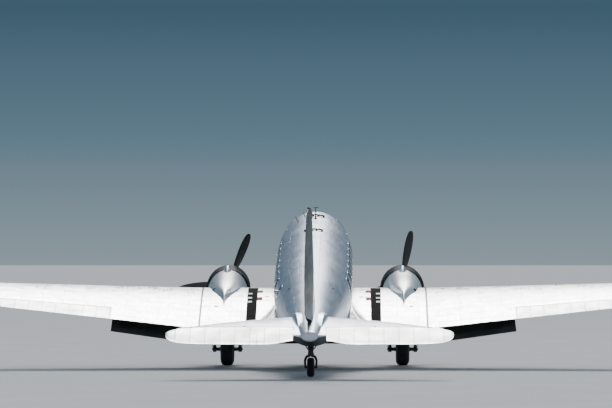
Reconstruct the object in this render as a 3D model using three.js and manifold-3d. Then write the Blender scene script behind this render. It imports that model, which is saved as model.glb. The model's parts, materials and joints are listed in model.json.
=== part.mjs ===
// Twin-engined low-wing airliner with a tail wheel, parked on its gear with its split flaps down.
// Millimetres. The aircraft's own level frame has +X to starboard, +Y to the nose and +Z up. A station
// runs aft from the nose tip, so y = -station. Heights run from the cabin's widest line. The exported
// group turns that frame nose-up onto the ground and puts the origin under the middle of the box.
import * as THREE from "three";
import { mergeVertices } from "three/addons/utils/BufferGeometryUtils.js";
import Module from "manifold-3d";

const wasm = await Module();
wasm.setup();

// Driving dimensions.
const HALF_SPAN = 14480;
const CHORD = 4320;
const JOINT_X = 3560; // the outer wing panels start just outboard of the nacelles
const ENGINE_X = 2820;
const THRUST_Z = -1135;
const WING_LE = 4900;
const WING_LE_Z = -965;
const WING_INCIDENCE = 2.6;
const WING_SWEEP = 0.23; // aft of the leading edge per millimetre of span
const WING_TAPER = 0.04; // forward of the trailing edge per millimetre of span
const DIHEDRAL = Math.tan(THREE.MathUtils.degToRad(5.3));
const PARKED_PITCH = THREE.MathUtils.degToRad(11);
const MAIN_AXLE = { station: 4450, z: -2850, radius: 520 };
const TAIL_AXLE = { station: 16050, radius: 280 };
const FLAP_DOWN = 45;
const SKIN = 70; // thickness of the cabin wall, skin to lining
const SEAM = 0.4; // the gap that keeps touching pieces apart
const PANEL_GAP = 8; // round a door
const MOVING_GAP = 9; // round a control surface

const at = (x, station, z) => new THREE.Vector3(x, -station, z);
const deg = THREE.MathUtils.degToRad;
const tailAxleZ =
  MAIN_AXLE.z +
  ((TAIL_AXLE.station - MAIN_AXLE.station) * Math.sin(PARKED_PITCH) -
    (MAIN_AXLE.radius - TAIL_AXLE.radius)) /
    Math.cos(PARKED_PITCH);

// Turning closed geometry into solids and back.

function solid(geometry) {
  const bare = new THREE.BufferGeometry().setAttribute("position", geometry.getAttribute("position"));
  bare.setIndex(geometry.index);
  const merged = mergeVertices(bare, 1e-3);
  const corners = merged.index.array;
  const faces = [];
  for (let i = 0; i < corners.length; i += 3) {
    const [a, b, c] = [corners[i], corners[i + 1], corners[i + 2]];
    if (a !== b && b !== c && c !== a) faces.push(a, b, c);
  }
  return new wasm.Manifold(
    new wasm.Mesh({
      numProp: 3,
      vertProperties: new Float32Array(merged.attributes.position.array),
      triVerts: new Uint32Array(faces),
    }),
  );
}

function geometryOf(body) {
  const mesh = body.getMesh();
  const geometry = new THREE.BufferGeometry();
  geometry.setAttribute("position", new THREE.BufferAttribute(new Float32Array(mesh.vertProperties), 3));
  geometry.setIndex(new THREE.BufferAttribute(new Uint32Array(mesh.triVerts), 1));
  geometry.computeVertexNormals();
  return geometry;
}

// A closed skin made solid, whichever way its faces were wound.
function outward(geometry) {
  const body = solid(geometry);
  if (body.volume() >= 0) return body;
  const index = geometry.index.array;
  for (let i = 0; i < index.length; i += 3) [index[i + 1], index[i + 2]] = [index[i + 2], index[i + 1]];
  return solid(geometry);
}

const join = (...bodies) => bodies.reduce((a, b) => a.add(b));

// The same solid under a matrix, with its faces kept outwards when the matrix mirrors.
function moved(body, matrix) {
  const geometry = geometryOf(body).applyMatrix4(matrix);
  if (matrix.determinant() < 0) {
    const index = geometry.index.array;
    for (let i = 0; i < index.length; i += 3) [index[i + 1], index[i + 2]] = [index[i + 2], index[i + 1]];
  }
  return solid(geometry);
}

const MIRROR = new THREE.Matrix4().makeScale(-1, 1, 1);
const toPort = (body) => moved(body, MIRROR);
const SIDES = [
  ["right", (body) => body],
  ["left", toPort],
];

function turnAbout(a, b, degrees) {
  const axis = b.clone().sub(a).normalize();
  return new THREE.Matrix4()
    .makeTranslation(a)
    .multiply(new THREE.Matrix4().makeRotationAxis(axis, deg(degrees)))
    .multiply(new THREE.Matrix4().makeTranslation(a.clone().negate()));
}

// A closed skin over rings of equal length, each ring a list of points in the same order.
function loft(rings) {
  const count = rings[0].length;
  const points = rings.flat();
  const faces = [];
  for (let r = 0; r + 1 < rings.length; r++)
    for (let i = 0; i < count; i++) {
      const j = (i + 1) % count;
      const [a, b, c, d] = [r * count + i, r * count + j, (r + 1) * count + j, (r + 1) * count + i];
      faces.push(a, b, c, a, c, d);
    }
  for (const [ring, first, flip] of [
    [rings[0], 0, true],
    [rings[rings.length - 1], (rings.length - 1) * count, false],
  ]) {
    const hub = points.length;
    points.push(ring.reduce((sum, p) => sum.add(p), new THREE.Vector3()).divideScalar(count));
    for (let i = 0; i < count; i++) {
      const j = (i + 1) % count;
      faces.push(hub, first + (flip ? j : i), first + (flip ? i : j));
    }
  }
  const geometry = new THREE.BufferGeometry().setFromPoints(points);
  geometry.setIndex(faces);
  return outward(geometry);
}

// A round bar between two points, with a radius at each.
function bar(from, to, radius, radiusTo = radius, sides = 12) {
  const along = to.clone().sub(from);
  const geometry = new THREE.CylinderGeometry(radiusTo, radius, along.length(), sides);
  geometry.applyQuaternion(
    new THREE.Quaternion().setFromUnitVectors(new THREE.Vector3(0, 1, 0), along.clone().normalize()),
  );
  geometry.translate(...from.clone().add(to).divideScalar(2).toArray());
  return solid(geometry);
}

// A block between two stations, two heights and two sideways places.
function block(x, stations, z) {
  const geometry = new THREE.BoxGeometry(x[1] - x[0], stations[1] - stations[0], z[1] - z[0]);
  geometry.translate((x[0] + x[1]) / 2, -(stations[0] + stations[1]) / 2, (z[0] + z[1]) / 2);
  return solid(geometry);
}

// A prism over an outline of points.
function prism(outline, offset) {
  return loft([outline, outline.map((p) => p.clone().add(offset))]);
}

// Points of a profile for a lathe, closed into a ring: rows of [place along the axis, radius].
function closedProfile(rows, scale = 1) {
  const points = rows.map(([along, radius]) => new THREE.Vector2(radius * scale, along));
  return [...points, points[0].clone()];
}

// A body of revolution about the fore-and-aft line through (x, z): rows of [station, radius].
function turned(profile, x, z, sides) {
  const rows = profile.map(([station, radius]) => [-station, radius]);
  const geometry = new THREE.LatheGeometry(closedProfile(rows), sides);
  geometry.translate(x, 0, z);
  return outward(geometry);
}

// A body of revolution about an axle across the aircraft: rows of [place along the axle, radius]. The
// rows' radii are to the flats, and one flat faces the ground when the aircraft is parked.
function wheel(profile, x, station, z, sides) {
  const geometry = new THREE.LatheGeometry(closedProfile(profile, 1 / Math.cos(Math.PI / sides)), sides);
  geometry.rotateY(Math.PI / sides);
  geometry.rotateZ(-Math.PI / 2);
  geometry.rotateX(-PARKED_PITCH);
  geometry.translate(x, -station, z);
  return outward(geometry);
}

// Fuselage. Columns: station, half width, top, widest line, bottom.
const FUSELAGE = [
  [0, 60, -350, -420, -490],
  [70, 250, -160, -420, -680],
  [280, 480, 50, -420, -880],
  [650, 710, 290, -390, -1050],
  [1100, 900, 480, -320, -1140],
  [1500, 1010, 640, -250, -1190],
  [1800, 1070, 1010, -190, -1205],
  [2150, 1120, 1220, -130, -1215],
  [2650, 1165, 1300, -60, -1220],
  [3400, 1205, 1325, 0, -1220],
  [5000, 1220, 1330, 0, -1220],
  [8200, 1220, 1320, 0, -1220],
  [9600, 1200, 1295, 20, -1185],
  [11000, 1140, 1245, 80, -1185],
  [12400, 1045, 1185, 150, -1000],
  [13800, 910, 1120, 235, -715],
  [15200, 770, 1060, 335, -410],
  [16600, 650, 1000, 445, -105],
  [17900, 450, 930, 560, 190],
  [18950, 225, 830, 690, 545],
];
const RING_POINTS = 24;

function fuselageAt(station) {
  const next = FUSELAGE.findIndex((row) => row[0] >= station);
  const i = next < 0 ? FUSELAGE.length - 2 : Math.max(0, next - 1);
  const [a, b] = [FUSELAGE[i], FUSELAGE[i + 1]];
  const t = (station - a[0]) / (b[0] - a[0]);
  const [, half, top, wide, bottom] = a.map((v, k) => v + (b[k] - v) * t);
  return { half, top, wide, bottom };
}

function fuselageRing(station, inset) {
  const { half, top, wide, bottom } = fuselageAt(station);
  return Array.from({ length: RING_POINTS }, (_, i) => {
    const angle = (2 * Math.PI * i) / RING_POINTS;
    const tall = Math.sin(angle) >= 0 ? top - wide - inset : wide - bottom - inset;
    return at((half - inset) * Math.cos(angle), station, wide + tall * Math.sin(angle));
  });
}

// The fuselage's outer form between two stations, shrunk by an inset or grown by a negative one.
function hull(from, to, inset = 0) {
  const stations = [from, ...FUSELAGE.map((row) => row[0]).filter((s) => s > from && s < to), to];
  return loft(stations.map((s) => fuselageRing(s, inset)));
}

// Windscreen: two flat panes that lean back and sweep back from the centre post.
const PANE = { sill: at(0, 1400, 590), brow: at(0, 2010, 1190), outer: at(800, 1830, 590) };
const paneNormal = PANE.outer
  .clone()
  .sub(PANE.sill)
  .cross(PANE.brow.clone().sub(PANE.sill))
  .normalize();

// What lies ahead of one pane's plane, moved aft by a depth.
function aheadOfPane(side, depth) {
  const across = PANE.outer.clone().sub(PANE.sill).setLength(1900);
  const up = PANE.brow.clone().sub(PANE.sill).setLength(1300);
  const out = paneNormal.clone().multiplyScalar(paneNormal.y > 0 ? 1 : -1);
  const origin = PANE.sill.clone().addScaledVector(out, -depth);
  const corner = (u, v) => origin.clone().addScaledVector(across, u).addScaledVector(up, v);
  const outline = [corner(-0.5, 0), corner(1, 0), corner(1, 1), corner(-0.5, 1)];
  const body = prism(outline, out.clone().multiplyScalar(1500));
  const half = body.intersect(block([-5, 2200], [-200, 3000], [PANE.sill.z - depth, 2200]));
  return side > 0 ? half : toPort(half);
}

const cutForPanes = (body, depth) =>
  body.subtract(aheadOfPane(1, depth)).subtract(aheadOfPane(-1, depth));

// Wing sections follow the four-digit family with two per cent camber at fifteen per cent of the chord.
const CAMBER = 0.02;
const CAMBER_AT = 0.15;
const CHORD_STEPS = 8;
const EDGE = 8; // half thickness of a trailing edge

function profileHeights(t, thickness) {
  const half =
    5 * thickness * (0.2969 * Math.sqrt(t) - 0.126 * t - 0.3516 * t * t + 0.2843 * t ** 3 - 0.1036 * t ** 4);
  const mean =
    t < CAMBER_AT
      ? (CAMBER / CAMBER_AT ** 2) * (2 * CAMBER_AT * t - t * t)
      : (CAMBER / (1 - CAMBER_AT) ** 2) * (1 - 2 * CAMBER_AT + 2 * CAMBER_AT * t - t * t);
  return { half, mean };
}

// One section: place is where the leading edge is; up is the direction of thickness.
const UP = new THREE.Vector3(0, 0, 1);

function section({ place, chord, thickness, incidence = 0, camber = 1, up = UP, grow = 0 }) {
  const aft = new THREE.Vector3(0, -1, 0);
  const points = [];
  for (let i = 0; i < 2 * CHORD_STEPS; i++) {
    const upper = i <= CHORD_STEPS;
    const k = upper ? CHORD_STEPS - i : i - CHORD_STEPS;
    const t = 0.5 * (1 - Math.cos((Math.PI * k) / CHORD_STEPS));
    const { half, mean } = profileHeights(t, thickness);
    const tall = Math.max(half * chord, i === 0 ? EDGE : 0) + grow;
    const along = t * chord + (t === 0 ? -grow : t === 1 ? grow : 0);
    const height = mean * camber * chord + (upper ? tall : -tall) * (t === 0 ? 0 : 1);
    points.push(
      place
        .clone()
        .addScaledVector(aft, along * Math.cos(deg(incidence)))
        .addScaledVector(new THREE.Vector3(0, 0, -1), along * Math.sin(deg(incidence)))
        .addScaledVector(up, height),
    );
  }
  const last = points[0].clone().addScaledVector(up, -2 * (EDGE + grow));
  points.push(last);
  return points;
}

// The wing's chord, leading edge and thickness at a distance from the centreline.
function wingAt(x) {
  const out = Math.max(0, x - JOINT_X);
  const share = out / (HALF_SPAN - JOINT_X);
  return {
    chord: CHORD - out * (WING_SWEEP + WING_TAPER),
    le: WING_LE + out * WING_SWEEP,
    z: WING_LE_Z + out * DIHEDRAL,
    thickness: 0.15 - 0.07 * share,
  };
}

// The wing's section at x. Near the tip the chord draws in along an ellipse.
const TIP_START = 13300;

function wingSection(x, grow = 0) {
  const { chord, le, z, thickness } = wingAt(x);
  const tip = Math.max(0, (x - TIP_START) / (HALF_SPAN - TIP_START));
  const draw = Math.sqrt(Math.max(0.02, 1 - tip * tip));
  const lost = chord * (1 - draw);
  return section({
    place: at(x, le + 0.45 * lost, z + 0.25 * tip * tip * 120),
    chord: chord - lost,
    thickness: thickness * (0.35 + 0.65 * draw),
    incidence: WING_INCIDENCE,
    grow,
  });
}

// A point inside the wing: share of the chord aft, and -1 at the lower skin to 1 at the upper.
function inWing(x, share, level) {
  const { chord, le, z, thickness } = wingAt(x);
  const { half, mean } = profileHeights(share, thickness);
  return at(
    x,
    le + share * chord * Math.cos(deg(WING_INCIDENCE)),
    z - share * chord * Math.sin(deg(WING_INCIDENCE)) + (mean + level * half) * chord,
  );
}

// Hinged surfaces. A cove keeps a round gap to the surface's round nose, and pins carry its ends.
const PIN = 14;
const PIN_DEPTH = 40;
const PIN_PLAY = 0.9;
const NOSE_SHARE = 0.97; // the nose's radius over the surface's half thickness at the hinge
const NOSE_SIDES = 16;
const NOSE_PLACES = 13; // where a tapering surface's thickness is taken along its hinge

function hingePin(from, towards, grow) {
  const along = towards.clone().sub(from).normalize();
  return bar(
    from.clone().addScaledVector(along, -MOVING_GAP - 12),
    from.clone().addScaledVector(along, PIN_DEPTH + (grow > 0 ? 5 : 0)),
    PIN + grow,
    PIN + grow,
    12,
  );
}

// A round bar whose radius follows a list of radii spaced evenly from a to b.
function noseBar(a, b, radii, grow) {
  const along = b.clone().sub(a).normalize();
  const turn = new THREE.Quaternion().setFromUnitVectors(new THREE.Vector3(0, 0, 1), along);
  const last = radii.length - 1;
  return loft(
    radii.map((radius, i) => {
      const ends = i === 0 ? -grow : i === last ? grow : 0;
      const centre = a.clone().lerp(b, i / last).addScaledVector(along, ends);
      return Array.from({ length: NOSE_SIDES }, (_, k) => {
        const angle = (2 * Math.PI * k) / NOSE_SIDES;
        const flats = grow > 0 ? Math.cos(Math.PI / NOSE_SIDES) : 1;
        const reach = (radius + grow) / flats;
        return new THREE.Vector3(reach * Math.cos(angle), reach * Math.sin(angle), 0)
          .applyQuaternion(turn)
          .add(centre);
      });
    }),
  );
}

// The region behind a hinge line: a box square to the line, with slack past the line's ends.
function behindLine(a, b, slack, up) {
  const along = b.clone().sub(a);
  const length = along.length();
  along.normalize();
  const aft = along.clone().cross(up).normalize();
  const geometry = new THREE.BoxGeometry(length + 2 * slack, 3000, 3000);
  geometry.translate(length / 2, 1500, 0);
  geometry.applyMatrix4(new THREE.Matrix4().makeBasis(along, aft, along.clone().cross(aft)).setPosition(a));
  return outward(geometry);
}

// Splits a surface at a hinge line. horn(slack) is a part ahead of the line that moves too, and
// below(slack) is a part behind it that doesn't.
function hinged(whole, a, b, halfThickness, up, { horn, below } = {}) {
  const radii = halfThickness.map((half) => half * NOSE_SHARE);
  const region = (slack) => {
    const behind = behindLine(a, b, slack, up);
    const all = horn ? behind.add(horn(slack)) : behind;
    return below ? all.subtract(below(slack)) : all;
  };
  const ends = horn ? [[a, b]] : [[a, b], [b, a]];
  const pins = ends.map(([from, towards]) => hingePin(from, towards, 0));
  const sockets = ends.map(([from, towards]) => hingePin(from, towards, PIN_PLAY));
  const fixed = whole.subtract(region(MOVING_GAP)).subtract(noseBar(a, b, radii, MOVING_GAP));
  const moving = whole.intersect(region(0)).add(noseBar(a, b, radii, 0));
  return { fixed: join(fixed, ...pins), moving: moving.subtract(join(...sockets)) };
}

const aircraft = new THREE.Group();
const PAINT = {
  aluminium: { color: 0xc9ced2, roughness: 0.25, metalness: 1 },
  fabric: { color: 0xd4d6d6, roughness: 0.5, metalness: 0.4 },
  dark: { color: 0x23211f, roughness: 0.8, metalness: 0 },
  steel: { color: 0x6a6c6e, roughness: 0.45, metalness: 1 },
  exhaust: { color: 0x4b4139, roughness: 0.6, metalness: 0.8 },
  rubber: { color: 0x161616, roughness: 0.9, metalness: 0 },
  black: { color: 0x1c1d1f, roughness: 0.5, metalness: 0 },
  glass: { color: 0x8fa5ae, roughness: 0.05, metalness: 0, transparent: true, opacity: 0.35 },
  lining: { color: 0x9aa093, roughness: 0.8, metalness: 0 },
  leather: { color: 0x57483a, roughness: 0.6, metalness: 0 },
};
const paints = Object.fromEntries(
  Object.entries(PAINT).map(([slot, look]) => [slot, new THREE.MeshStandardMaterial(look)]),
);

function add(name, body, slot) {
  const mesh = new THREE.Mesh(geometryOf(body), paints[slot]);
  mesh.name = name;
  aircraft.add(mesh);
  return mesh;
}

// Where each joint turns, for whoever rigs the model: filled in as the pieces are made.
aircraft.userData.hinges = {};
const hingeAt = (name, a, b) => {
  aircraft.userData.hinges[name] = [a.clone(), b.clone()];
};

// Wing: a centre section under the cabin and two outer panels.
const FILLET = { from: 6300, to: 10900 };
const FLAP_START = 0.84;
const FLAP_THICK = 26; // at the hinge
const FLAP_EDGE = 4; // at the trailing edge
const FLAP_CLEAR = { hinge: 8, edge: 5.5, front: 38 };
const FLAP_END_GAP = 12;
const FLAP_ENDS = { centre: 3500, inner: 3650, outer: 6230 };
const AILERON = { inner: 6290, outer: 13250, start: 0.76 };

function centreWing(grow = 0) {
  const ends = [-JOINT_X - grow, JOINT_X + grow];
  return loft(ends.map((x) => wingSection(JOINT_X, grow).map((p) => p.setX(x))));
}

// The wing root's fairing: a hollow-cheeked wedge between cabin side and wing, out past the trailing edge.
function fillet() {
  const rings = [];
  for (const share of [0, 0.15, 0.3, 0.5, 0.7, 0.85, 1]) {
    const station = FILLET.from + (FILLET.to - FILLET.from) * share;
    const swell = Math.sin(Math.PI * share ** 1.3);
    const past = Math.max(0, station - WING_LE - CHORD);
    const base = inWing(JOINT_X, Math.min(0.97, (station - WING_LE) / CHORD), 0).z + past * 0.24;
    const { half } = fuselageAt(station);
    const reach = 60 + 560 * swell;
    const rise = 60 + 640 * swell;
    rings.push([
      at(half * 0.5, station, base - 50),
      at(half + reach, station, base - 25),
      at(half + reach, station, base + 20),
      at(half + reach * 0.42, station, base + rise * 0.26),
      at(half + reach * 0.1, station, base + rise * 0.62),
      at(half * 0.97, station, base + rise),
      at(half * 0.5, station, base + rise),
    ]);
  }
  return loft(rings);
}

// A split flap's plate, closed, and the space that the wing leaves for it, between two places along the
// span. The plate is hinged at its front lower edge, and its ends are square to the hinge line.
function splitFlap(x0, x1, across) {
  const hinge = [x0, x1].map((x) => inWing(across ? JOINT_X : x, FLAP_START, -1).setX(x));
  const along = hinge[1].clone().sub(hinge[0]).normalize();
  const wedge = (lift, edgeLift, slack, front) => {
    const body = loft(
      [x0 - 300, x1 + 300].map((x) => {
        const low = inWing(across ? JOINT_X : x, FLAP_START, -1);
        const edge = inWing(across ? JOINT_X : x, 1, 0);
        return [
          at(x, -low.y - front, low.z - 500),
          at(x, -low.y - front, low.z + lift),
          at(x, -edge.y, edge.z - EDGE + edgeLift),
          at(x, -edge.y + 80, edge.z - EDGE + edgeLift),
          at(x, -edge.y + 80, low.z - 500),
        ];
      }),
    );
    const from = hinge[0].clone().addScaledVector(along, -slack);
    const to = hinge[1].clone().addScaledVector(along, slack);
    return body.intersect(bar(from, to, 1200, 1200, 12));
  };
  // Knuckles under the skin at the plate's two ends carry it.
  const knuckle = (end, inward) =>
    bar(
      end.clone().addScaledVector(along, -inward * (FLAP_END_GAP + 30)),
      end.clone().addScaledVector(along, -inward * SEAM),
      11,
      11,
      8,
    );
  return {
    hinge,
    plate: wedge(FLAP_THICK, FLAP_EDGE, 0, 0),
    space: wedge(FLAP_THICK + FLAP_CLEAR.hinge, FLAP_EDGE + FLAP_CLEAR.edge, FLAP_END_GAP, FLAP_CLEAR.front),
    knuckles: [knuckle(hinge[0], 1), knuckle(hinge[1], -1)],
  };
}

const closedToDown = (hinge) => turnAbout(...hinge, FLAP_DOWN);

function buildOuterWings() {
  const panel = loft(
    [JOINT_X + SEAM, 6230, 9800, TIP_START, 13900, 14250, 14420, HALF_SPAN].map((x) => wingSection(x)),
  );
  const start = inWing(AILERON.inner, AILERON.start, 0);
  const end = inWing(AILERON.outer, AILERON.start, 0);
  const halves = [AILERON.inner, AILERON.outer].map((x) => {
    const { chord, thickness } = wingAt(x);
    return profileHeights(AILERON.start, thickness).half * chord;
  });
  const { fixed, moving } = hinged(panel, start, end, halves, new THREE.Vector3(0, 0, 1));
  const { hinge, plate, space, knuckles } = splitFlap(FLAP_ENDS.inner, FLAP_ENDS.outer);
  const flap = moved(panel.intersect(plate), closedToDown(hinge));
  const wing = join(fixed.subtract(space), ...knuckles);
  hingeAt("aileron", start, end);
  hingeAt("flap_outer", ...hinge);
  for (const [side, place] of SIDES) {
    add(`wing_${side}`, place(wing), "aluminium");
    add(`aileron_${side}`, place(moving), "fabric");
    add(`flap_${side}`, place(flap), "aluminium");
  }
}

function buildCentreWing() {
  const { hinge, plate, space, knuckles } = splitFlap(-FLAP_ENDS.centre, FLAP_ENDS.centre, true);
  const fillets = SIDES.map(([, place]) => place(fillet()));
  const bare = join(centreWing(), ...fillets).subtract(hull(5000, 12000, -SEAM));
  const wing = centreWing().subtract(space).add(bare.subtract(space));
  hingeAt("flap_centre", ...hinge);
  add("wing_centre", join(wing, ...knuckles), "aluminium");
  add("flap_centre", moved(centreWing().intersect(plate), closedToDown(hinge)), "aluminium");
}

// Cabin. The door turns on a line just outside its front edge.
const FLOOR_Z = -560;
const FLOOR_THICK = 40;
const CABIN = { nose: 1100, cockpit: 3400, wing: 9300, tail: 13400 };
const ROOM_FRONT = CABIN.nose + 80;
const BULKHEAD = 40;
const DOOR = { side: -1, from: 11450, to: 12260, low: -500, high: 960 };
const LUG = { out: 12, deep: 115, tall: 50, spacing: 290, pin: 8 };

function doorAxis() {
  const { side, from, to } = DOOR;
  const widest = Math.max(fuselageAt(from).half, fuselageAt(to).half);
  return { x: side * (widest + 26), station: from, z: fuselageAt(from).wide };
}

function doorOpening(gap) {
  const { x, station } = doorAxis();
  const reach = DOOR.to - DOOR.from - gap;
  const sweep = bar(at(x, station, -3000), at(x, station, 3000), reach, reach, 72);
  return sweep.intersect(
    block([x - 200, x + 1000], [DOOR.from + gap, DOOR.to], [DOOR.low + gap, DOOR.high - gap]),
  );
}

function doorLugs() {
  const { x, station, z } = doorAxis();
  const span = (a, b) => [x + a, x + b];
  const wall = [];
  const leaf = [];
  for (const dz of [-LUG.spacing, LUG.spacing]) {
    const low = z + dz;
    const levels = [low, low + LUG.tall];
    const above = [low + LUG.tall + 4, low + 2 * LUG.tall];
    const bore = LUG.pin + 0.6;
    const eye = join(
      block(span(-LUG.out, LUG.out), [station - LUG.out, station + 60], levels),
      block(span(0, LUG.deep), [station + PANEL_GAP + 3, station + 60], levels),
    );
    leaf.push(eye.subtract(bar(at(x, station, low - 10), at(x, station, low + LUG.tall + 10), bore, bore, 10)));
    wall.push(
      join(
        block(span(-LUG.out, LUG.out), [station - 80, station + LUG.out], above),
        block(span(0, LUG.deep), [station - 80, station - 6], above),
        bar(at(x, station, low + 2), at(x, station, above[0] + 5), LUG.pin, LUG.pin, 10),
      ),
    );
  }
  return { wall, leaf };
}

const SIDE_WINDOW = { from: 2080, to: 2620, low: 520, high: 980 };
const GLASS = { thick: 10, gap: 1.5 };

function sideWindow(side, gap) {
  const { from, to, low, high } = SIDE_WINDOW;
  const x = [600 * side, 1500 * side].sort((a, b) => a - b);
  return block(x, [from + gap, to - gap], [low + gap, high - gap]);
}

// One windscreen pane's opening: a prism through the wall, square to the pane.
function paneOpening(side, gap) {
  const out = paneNormal.clone().multiplyScalar(paneNormal.y > 0 ? 1 : -1);
  const across = PANE.outer.clone().sub(PANE.sill).normalize();
  const up = PANE.brow.clone().sub(PANE.sill).normalize();
  const corner = (u, v) =>
    PANE.sill.clone().addScaledVector(across, u).addScaledVector(up, v).addScaledVector(out, -300);
  const outline = [
    corner(110 + gap, 110 + gap),
    corner(720 - gap, 110 + gap),
    corner(500 - gap, 560 - gap),
    corner(110 + gap, 620 - gap),
  ];
  const body = prism(outline, out.clone().multiplyScalar(600));
  return side > 0 ? body : toPort(body);
}

function buildCabin() {
  add("nose", hull(0, CABIN.nose), "aluminium");

  const wingRoom = centreWing(SEAM);
  const underWing = loft(
    [-2000, 2000].map((x) => [
      at(x, 5300, -1050),
      at(x, WING_LE + CHORD + 12, -1161),
      at(x, WING_LE + CHORD + 12, -2000),
      at(x, 5300, -2000),
    ]),
  );
  const flapRoom = splitFlap(-FLAP_ENDS.centre, FLAP_ENDS.centre, true).space;
  const room = (slack) => cutForPanes(hull(ROOM_FRONT + slack, CABIN.tail + 1, SKIN + slack), SKIN + slack);
  const belowCabin = join(wingRoom, underWing, flapRoom);
  const sections = {
    cockpit: cutForPanes(hull(CABIN.nose + SEAM, CABIN.cockpit), 0),
    cabin_front: hull(CABIN.cockpit + SEAM, CABIN.wing).subtract(belowCabin),
    cabin_rear: hull(CABIN.wing + SEAM, CABIN.tail),
  };
  for (const [name, skin] of Object.entries(sections)) {
    let shell = skin.subtract(room(0));
    if (name === "cockpit") {
      const inside = hull(CABIN.nose, CABIN.cockpit, GLASS.thick);
      for (const [side, word] of [[1, "right"], [-1, "left"]]) {
        const screen = skin.intersect(paneOpening(side, GLASS.gap)).subtract(cutForPanes(inside, GLASS.thick));
        const quarter = skin.intersect(sideWindow(side, GLASS.gap)).subtract(inside);
        shell = shell.subtract(paneOpening(side, 0)).subtract(sideWindow(side, 0));
        add(`windscreen_${word}`, screen, "glass");
        add(`cockpit_window_${word}`, quarter, "glass");
      }
    }
    if (name === "cabin_rear") {
      const { wall, leaf } = doorLugs();
      const axis = doorAxis();
      add("passenger_door", join(shell.intersect(doorOpening(PANEL_GAP)), ...leaf), "aluminium");
      shell = join(shell.subtract(doorOpening(0)), ...wall);
      hingeAt("passenger_door", at(axis.x, axis.station, axis.z), at(axis.x, axis.station, axis.z + 100));
    }
    add(name, shell, "aluminium");
  }
  add("tail_cone", tailCone(0), "aluminium");

  // What is fitted inside. Columns: name, stations, heights, slot.
  const underfloor = FLOOR_Z - FLOOR_THICK;
  const fitted = [
    ["cockpit_floor", ROOM_FRONT, CABIN.cockpit, underfloor, FLOOR_Z, "lining"],
    ["cabin_floor", CABIN.cockpit + BULKHEAD + SEAM, CABIN.tail - SEAM, underfloor, FLOOR_Z, "lining"],
    ["bulkhead", CABIN.cockpit + SEAM, CABIN.cockpit + BULKHEAD, -3000, 3000, "lining"],
    ["instrument_panel", 1520, 1600, FLOOR_Z + SEAM, 500, "black"],
  ];
  const clear = room(SEAM).subtract(wingRoom);
  const doorway = block([-300, 300], [CABIN.cockpit, CABIN.cockpit + BULKHEAD], [FLOOR_Z + 20, 1080]);
  for (const [name, from, to, low, high, slot] of fitted) {
    const body = clear.intersect(block([-1300, 1300], [from, to], [low, high]));
    add(name, name === "bulkhead" ? body.subtract(doorway) : body, slot);
  }
}

// A seat's side profile, extruded to its width: base, pan and back.
function seat(x, station, width) {
  const rows = [
    [0, 0],
    [-420, 0],
    [-420, 380],
    [-460, 440],
    [0, 440],
    [110, 1080],
    [220, 1060],
    [120, 400],
    [40, 340],
    [40, 0],
  ];
  const outline = rows.map(([aft, z]) => at(x - width / 2, station + aft, FLOOR_Z + SEAM + z));
  return prism(outline, new THREE.Vector3(width, 0, 0));
}

const PILOT_SEAT = { x: 480, station: 2500, width: 480 };
const CABIN_ROWS = { first: 4450, pitch: 960, count: 7 };
const CABIN_SEATS = { left: { x: -545, width: 690 }, right: { x: 680, width: 410 } };

function buildSeats() {
  const { first, pitch, count } = CABIN_ROWS;
  for (const [word, side] of [["left", -1], ["right", 1]])
    add(`pilot_seat_${word}`, seat(side * PILOT_SEAT.x, PILOT_SEAT.station, PILOT_SEAT.width), "leather");
  for (const [word, { x, width }] of Object.entries(CABIN_SEATS)) {
    const rail = block([x - 40, x + 40], [first, first + (count - 1) * pitch], [FLOOR_Z + SEAM, FLOOR_Z + 30]);
    const seats = Array.from({ length: count }, (_, i) => seat(x, first + i * pitch, width));
    add(`seats_${word}`, join(rail, ...seats), "leather");
  }
}

// Nacelles. Columns: station, half width, height over the thrust line.
const NACELLE_TOP = [
  [3650, 640, 725],
  [4300, 655, 755],
  [5000, 655, 775],
  [5600, 645, 768],
  [6000, 590, 738],
  [6300, 470, 704],
  [6640, 280, 654],
  [7000, 95, 590],
  [7350, 20, 535],
];
const NACELLE_BELLY = [
  [3650, 640, -620],
  [4300, 650, -650],
  [5200, 615, -680],
  [6000, 520, -645],
  [6800, 390, -520],
  [7600, 230, -340],
  [8300, 60, -120],
];
const NACELLE_POINTS = 15;
const WELL = { half: 490, from: 3930, to: 5330, roof: -1330 };

function nacelleForm(grow) {
  const half = (table) =>
    loft(
      table.map(([station, wide, tall], row) => {
        const ends = row === 0 ? -grow : row === table.length - 1 ? grow : 0;
        return Array.from({ length: NACELLE_POINTS }, (_, i) => {
          const angle = -0.12 + ((Math.PI + 0.24) * i) / (NACELLE_POINTS - 1);
          return at(
            ENGINE_X + (wide + grow) * Math.cos(angle),
            station + ends,
            THRUST_Z + (tall + Math.sign(tall) * grow) * Math.sin(angle),
          );
        });
      }),
    );
  return half(NACELLE_TOP).add(half(NACELLE_BELLY));
}

const COWL_SIDES = 30;
const COWL = [
  [2490, 545],
  [2410, 588],
  [2440, 636],
  [2600, 682],
  [2850, 711],
  [3300, 722],
  [3610, 712],
  [3610, 700],
  [2760, 684],
  [2610, 640],
];
const CYLINDERS = { station: 2790, count: 7 };
const COWL_STAYS = { count: 5, station: 3360, radius: 16 };
const ENGINE_CORE = [
  [2190.4, 0],
  [2190.4, 48],
  [2400, 48],
  [2400, 105],
  [2560, 190],
  [2680, 245],
  [2930, 262],
  [2960, 560],
  [3190, 560],
  [3260, 400],
  [3460, 330],
  [3649.6, 330],
  [3649.6, 0],
];

function radial(angle, r, station) {
  return at(ENGINE_X + r * Math.sin(angle), station, THRUST_Z + r * Math.cos(angle));
}

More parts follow.
